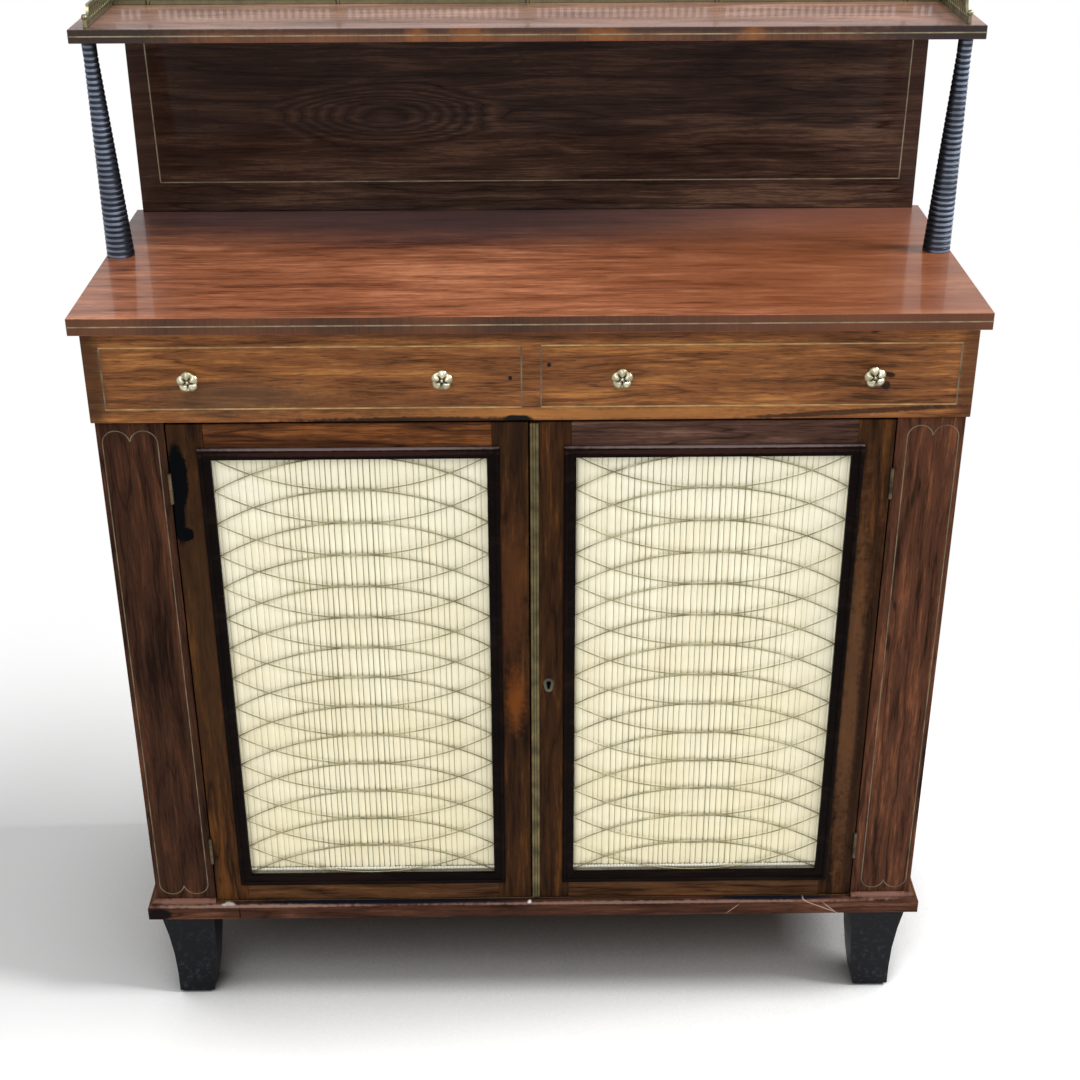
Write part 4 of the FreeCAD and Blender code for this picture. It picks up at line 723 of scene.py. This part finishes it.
def lobed_half(left, right, foot, head, turn=172, steps=16):
    """One half of a pilaster's panel, from the lower cusp round to the upper one."""
    radius = abs(right - left) / 2
    middle, side = (left + right) / 2, math.copysign(1, left - right)
    lower = [(middle + side * radius * math.cos(a), foot + radius - radius * math.sin(a))
             for a in (math.radians(turn - turn * i / steps) for i in range(steps + 1))]
    upper = [(middle + side * radius * math.cos(a), head - radius + radius * math.sin(a))
             for a in (math.radians(turn * i / steps) for i in range(steps + 1))]
    return lower + upper


PANEL_OUTER, PANEL_FOOT, PANEL_HEAD = 444.5, 150.4, 752.5    # mm
for side, name, inner in ((-1, "left", 387.4), (1, "right", 391.0)):
    face = facing_front(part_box(name + "_pilaster")[0].y)
    middle = (PANEL_OUTER + inner) / 2
    string_piece(name + "_pilaster_string",
                 [ribbon(lobed_half(side * edge, side * middle, PANEL_FOOT, PANEL_HEAD), face,
                         width=1.1) for edge in (PANEL_OUTER, inner)],
                 "carcase", dull_string)


def edge_string(name, node):
    """A line along the middle of a top's front and side edges."""
    low, high = (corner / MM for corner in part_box(node))
    height = (low.z + high.z) / 2
    corners, faces = [], []
    for x, side, y, front in ((low.x, -1, high.y, 0), (low.x, -1, low.y, -1),
                              (high.x, 1, low.y, -1), (high.x, 1, high.y, 0)):
        for out, up in ((STRING_PROUD, 1), (STRING_PROUD, -1),
                        (-STRING_DEPTH, -1), (-STRING_DEPTH, 1)):
            corners.append((MM * (x + side * out), MM * (y + front * out),
                            MM * (height + up * STRING_WIDTH / 2)))
    for i in range(0, 12, 4):
        faces += [(i + j, i + (j + 1) % 4, i + 4 + (j + 1) % 4, i + 4 + j) for j in range(4)]
    faces += [(3, 2, 1, 0), (12, 13, 14, 15)]
    make_piece(name, corners, faces, grey_string, "carcase")


edge_string("top_edge_string", "main_top")
edge_string("shelf_edge_string", "upper_shelf")
print("strings", STRING_WIDTH, "mm wide")

# %% [markdown]
# Each knob is a small cast flower of five petals on a stem, made as one mesh on a
# round grid: the grid's outer ring follows the petals, and its height swells on each
# petal, sinks between them and rises again in a button at the centre. A stem with a
# screw closes it behind. No two castings sit quite straight, so each is turned a
# little.

# %% The cast knobs
PETALS = 5
AROUND, RINGS_OUT = 100, 26    # the grid's steps round the knob and out to its rim


def flower_rows(radius, rim_y, turn):
    """The flower's face as rings of (radius, y), from its centre out to its rim."""
    rise, button_radius, button_rise, hollow_radius = (size * MM for size in (4.2, 2.3, 3.2, 3.6))
    rows = []
    for ring in range(RINGS_OUT + 1):
        share = ring / RINGS_OUT
        row = []
        for step in range(AROUND):
            petal = abs(math.cos(PETALS / 2 * (2 * math.pi * step / AROUND - turn)))
            r = radius * (0.80 + 0.20 * petal ** 0.8) * share
            swell = math.sin(math.pi * share ** 0.85) ** 0.7 if 0 < share < 1 else 0
            height = rise * swell * (0.15 + 0.85 * petal ** 0.7)
            height *= min(1, (r / hollow_radius) ** 2)
            button = button_rise * max(0.0, 1 - (r / button_radius) ** 2) ** 0.5
            row.append((r, rim_y - max(height, button)))
        rows.append(row)
    return rows


def flower_knob(node, turn, material):
    """A cast flower on its stem, turned a little, in place of a CAD knob."""
    low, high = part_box(node)
    centre_x, centre_z = (low.x + high.x) / 2, (low.z + high.z) / 2
    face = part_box("drawer_front")[0].y
    rim_y = low.y + 5.2 * MM
    rows = flower_rows((high.x - low.x) / 2, rim_y, turn)
    rim = rows[-1]
    for share, y in ((0.92, rim_y + 1.4 * MM), (0.62, rim_y + 2.6 * MM)):
        rows.append([(r * share, y) for r, _ in rim])
    for r, y in ((4.2, rim_y + 4.5 * MM), (3.6, face - 4.5 * MM), (5.4, face - 1.2 * MM),
                 (5.4, face), (2.0, face), (2.0, high.y)):
        rows.append([(r * MM, y)] * AROUND)
    corners, faces = [], []
    for row in rows:
        for step, (r, y) in enumerate(row):
            angle = 2 * math.pi * step / AROUND
            corners.append((centre_x + r * math.cos(angle), y, centre_z + r * math.sin(angle)))
    for ring in range(len(rows) - 1):
        for step in range(AROUND):
            after = (step + 1) % AROUND
            a, b = ring * AROUND, (ring + 1) * AROUND
            faces.append((a + step, a + after, b + after, b + step))
    faces.append(tuple((len(rows) - 1) * AROUND + step for step in range(AROUND)))
    knob = make_piece("flower_" + node, corners, faces, material, "drawer", smooth=True)
    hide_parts(node)
    return knob


knob_brass = old_brass("cast_knob_brass", "#D2CCB2", "#989074", hollow="#14120C", reach_mm=3,
                       roughness=0.38)
for number, turn in ((1, 96), (2, 84), (3, 90), (4, 101)):
    flower_knob(f"knob_{number}", math.radians(turn), knob_brass)
print("knobs cast")

# %% [markdown]
# The keyhole in the right door has a lining of dull brass let into the veneer. Its
# outline follows the hole: round above, where the barrel of the key goes in, and
# narrower below for the bit. It is made as rings of corners between the outline of the
# hole and the outline of the rim, which is lifted a little in the middle.

# %% The keyhole lining
HOLE_RADIUS, BIT_RADIUS, BIT_DROP, RIM_WIDTH = 2.6, 1.1, 7.0, 3.6    # mm


def keyhole_outline(grown, steps=24):
    """A keyhole, in mm from the middle of its round part, grown outwards by grown."""
    round_radius, bit_radius = HOLE_RADIUS + grown, BIT_RADIUS + grown
    tilt = math.asin((round_radius - bit_radius) / BIT_DROP)
    turns = [-tilt + (math.pi + 2 * tilt) * i / steps for i in range(steps + 1)]
    outline = [(round_radius * math.cos(a), round_radius * math.sin(a)) for a in turns]
    turns = [math.pi + tilt + (math.pi - 2 * tilt) * i / steps for i in range(steps + 1)]
    return outline + [(bit_radius * math.cos(a), bit_radius * math.sin(a) - BIT_DROP)
                      for a in turns]


def keyhole_lining(node, material):
    """A brass lining in place of the CAD keyhole plate."""
    low, high = (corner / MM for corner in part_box(node))
    middle_x, middle_z = (low.x + high.x) / 2, high.z - (HOLE_RADIUS + RIM_WIDTH)
    rings = [(0.0, high.y), (0.0, low.y + 0.3), (0.6, low.y), (RIM_WIDTH - 0.8, low.y),
             (RIM_WIDTH, low.y + 0.4), (RIM_WIDTH, high.y)]
    corners, faces = [], []
    for grown, y in rings:
        corners += [((middle_x + x) * MM, y * MM, (middle_z + z) * MM)
                    for x, z in keyhole_outline(grown)]
    around = len(keyhole_outline(0))
    for ring in range(len(rings)):
        a, b = ring * around, (ring + 1) % len(rings) * around
        faces += [(a + i, b + i, b + (i + 1) % around, a + (i + 1) % around)
                  for i in range(around)]
    lining = make_piece("keyhole_lining", corners, faces, material, "right_door",
                        smooth=True)
    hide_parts(node)
    return lining


lining = keyhole_lining("escutcheon", old_brass("dull_lining_brass", "#5C594C", "#3C3930",
                                                roughness=0.45, metal=0.6))
print("keyhole lining", [round(v / MM, 1) for v in lining.dimensions], "mm")

# %% [markdown]
# The doors are lined with cream silk, about one and a half times as wide as the
# opening and gathered into some forty soft pleats. Light bounces about between the
# pleats of a pale cloth, so its creases are never black: ambient occlusion finds them,
# and they take a warm olive tint. A gathered cloth has broad round folds that roll into
# narrower creases. A gathered hem finishes the lower edge.

# %% Woven silk
def woven_silk(name, light, shade):
    """Plain woven silk, yellowed with age, with fine slubs and shaded creases."""
    material, tree = blank_material(name)
    here = add(tree, "TexCoord", {}).outputs["Object"]
    height = add(tree, "SeparateXYZ", {0: here}).outputs["Z"]
    sunned = add(tree, "MapRange", {0: height, 1: 0.7, 2: 0.2, 4: 0.5})
    patchy = add(tree, "TexNoise", {"Vector": here, "Scale": 14, "Detail": 3})
    age = add(tree, "Math", {0: sunned, 1: patchy}, operation="ADD", use_clamp=True)
    colour = add(tree, "Mix", {0: age, 6: linear(light), 7: linear(shade)}, data_type="RGBA")
    upright = add(tree, "Mapping", {"Vector": here, "Scale": (700, 700, 40)})
    threads = add(tree, "TexNoise", {"Vector": upright, "Scale": 1})
    slubs = add(tree, "MapRange", {0: threads, 1: 0.5, 2: 0.8, 4: 0.2})
    colour = add(tree, "Mix", {0: slubs, 6: colour, 7: linear("#C4BC98")}, data_type="RGBA")
    open_air = add(tree, "AmbientOcclusion", {"Distance": 6 * MM}, samples=6).outputs["AO"]
    creases = add(tree, "MapRange", {0: open_air, 1: 0.8, 2: 0.3, 4: 0.95})
    colour = add(tree, "Mix", {0: creases, 6: colour, 7: linear("#7C7752")}, data_type="RGBA")
    bump = add(tree, "Bump", {"Strength": 0.1, "Distance": 0.1 * MM, "Height": threads})
    shader = add(tree, "BsdfPrincipled", {
        "Base Color": colour, "Roughness": 0.62, "Normal": bump, "Specular IOR Level": 0.2,
        "Sheen Weight": 0.15})
    add(tree, "OutputMaterial", {"Surface": shader})
    return material


silk = woven_silk("woven_cream_silk", "#F9F5E2", "#EDE4C2")

# %% [markdown]
# The mesh follows one fold after the other from side to side, each with its own width
# and depth, and lets every crease wander a little on its way down. The folds are
# deepest in the middle of a door, where the fullness gathers, and lie flatter towards
# its stiles.

# %% The pleated silk
PLEAT_MM = 6.8
SILK_CLEAR = 0.05 * MM
HEM_HEIGHT, HEM_LIFT, HEM_THICK, PUFF = 6 * MM, 5.2 * MM, 1.2 * MM, 3.8 * MM


def fold_plan(low, high, chance):
    """Where each fold starts, how its crease sways on its way down, and how deep it is."""
    count = round((high.x - low.x) / (PLEAT_MM * MM))
    widths = [chance.uniform(0.75, 1.25) for _ in range(count)]
    scale = (high.x - low.x) / sum(widths)
    edges = [low.x]
    for width in widths:
        edges.append(edges[-1] + width * scale)
    edges[-1] = high.x
    sway = [(chance.uniform(0.05, 0.3) * MM, chance.uniform(0.5, 2.5), chance.uniform(0, 6.3))
            for _ in edges]
    depth = [(chance.uniform(0.45, 1.0) * (0.3 + 0.7 * math.sin(math.pi * (i + 0.5) / count)),
              chance.uniform(0.02, 0.12), chance.uniform(1, 4), chance.uniform(0, 6.3))
             for i in range(count)]
    return edges, sway, depth


def pleated_silk(side, seed):
    """One door's silk and its hem, in place of the CAD slab."""
    node, body = side + "_silk", side + "_door"
    low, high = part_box(node)
    front, back = low.y + SILK_CLEAR, high.y - SILK_CLEAR
    chance = random.Random(seed)
    edges, sway, depth = fold_plan(low, high, chance)
    count, steps, rows = len(depth), 10, 80
    corners, faces = [], []
    for row in range(rows + 1):
        z = low.z + (high.z - low.z) * row / rows
        hem = min(1.0, max(0.0, (z - low.z) / (2 * HEM_HEIGHT)))
        line = [e + (a * math.sin(f * z * 6.3 + p) if 0 < i < count else 0)
                for i, (e, (a, f, p)) in enumerate(zip(edges, sway))]
        for i in range(count):
            base, swing, pace, phase = depth[i]
            fold = (back - front) * min(1, base + swing * math.sin(pace * z * 6.3 + phase))
            fold *= 0.35 + 0.65 * hem
            for step in range(steps + (i == count - 1)):
                s = step / steps
                x = line[i] + (line[i + 1] - line[i]) * (s - 0.85 * math.sin(2 * math.pi * s)
                                                         / (2 * math.pi))
                corners.append((x, back - fold * math.sin(math.pi * s) ** 0.8, z))
    across = count * steps + 1
    for row in range(rows):
        for column in range(across - 1):
            a = row * across + column
            faces.append((a, a + 1, a + 1 + across, a + across))
    cloth = make_piece(side + "_pleated_silk", corners, faces, silk, body, smooth=True)
    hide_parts(node)
    hem = gathered_hem(side, body, low, high, chance)
    return cloth


def gathered_hem(side, body, low, high, chance):
    """The rolled lower edge, drawn up into small puffs on its thread."""
    z0 = low.z + HEM_LIFT
    front, back = low.y + SILK_CLEAR, low.y + HEM_THICK
    corners, faces = [], []
    count = int((high.x - low.x) / PUFF)
    steps, profile = 8, 8
    for column in range(count * steps + 1):
        x = low.x + (high.x - low.x) * column / (count * steps)
        if column % steps == 0:
            size = chance.uniform(0.7, 1.0)
        swell = 0.1 + 0.9 * size * math.sin(math.pi * (column % steps) / steps) ** 0.7
        for k in range(profile):
            angle = 2 * math.pi * k / profile
            y = (front + back) / 2 - (back - front) / 2 * math.cos(angle) * swell
            z = z0 + HEM_HEIGHT / 2 + HEM_HEIGHT / 2 * math.sin(angle) * (0.4 + 0.6 * swell)
            corners.append((x, y, z))
    for column in range(count * steps):
        for k in range(profile):
            a, b = column * profile + k, column * profile + (k + 1) % profile
            faces.append((a, b, b + profile, a + profile))
    last = count * steps * profile
    faces += [tuple(range(profile))[::-1], tuple(last + k for k in range(profile))]
    return make_piece(side + "_silk_hem", corners, faces, hem_silk, body, smooth=True)


hem_silk = woven_silk("rolled_silk_hem", "#FFFDF4", "#F6F2E2")
for seed, side in ((5, "left"), (8, "right")):
    pleated_silk(side, seed)
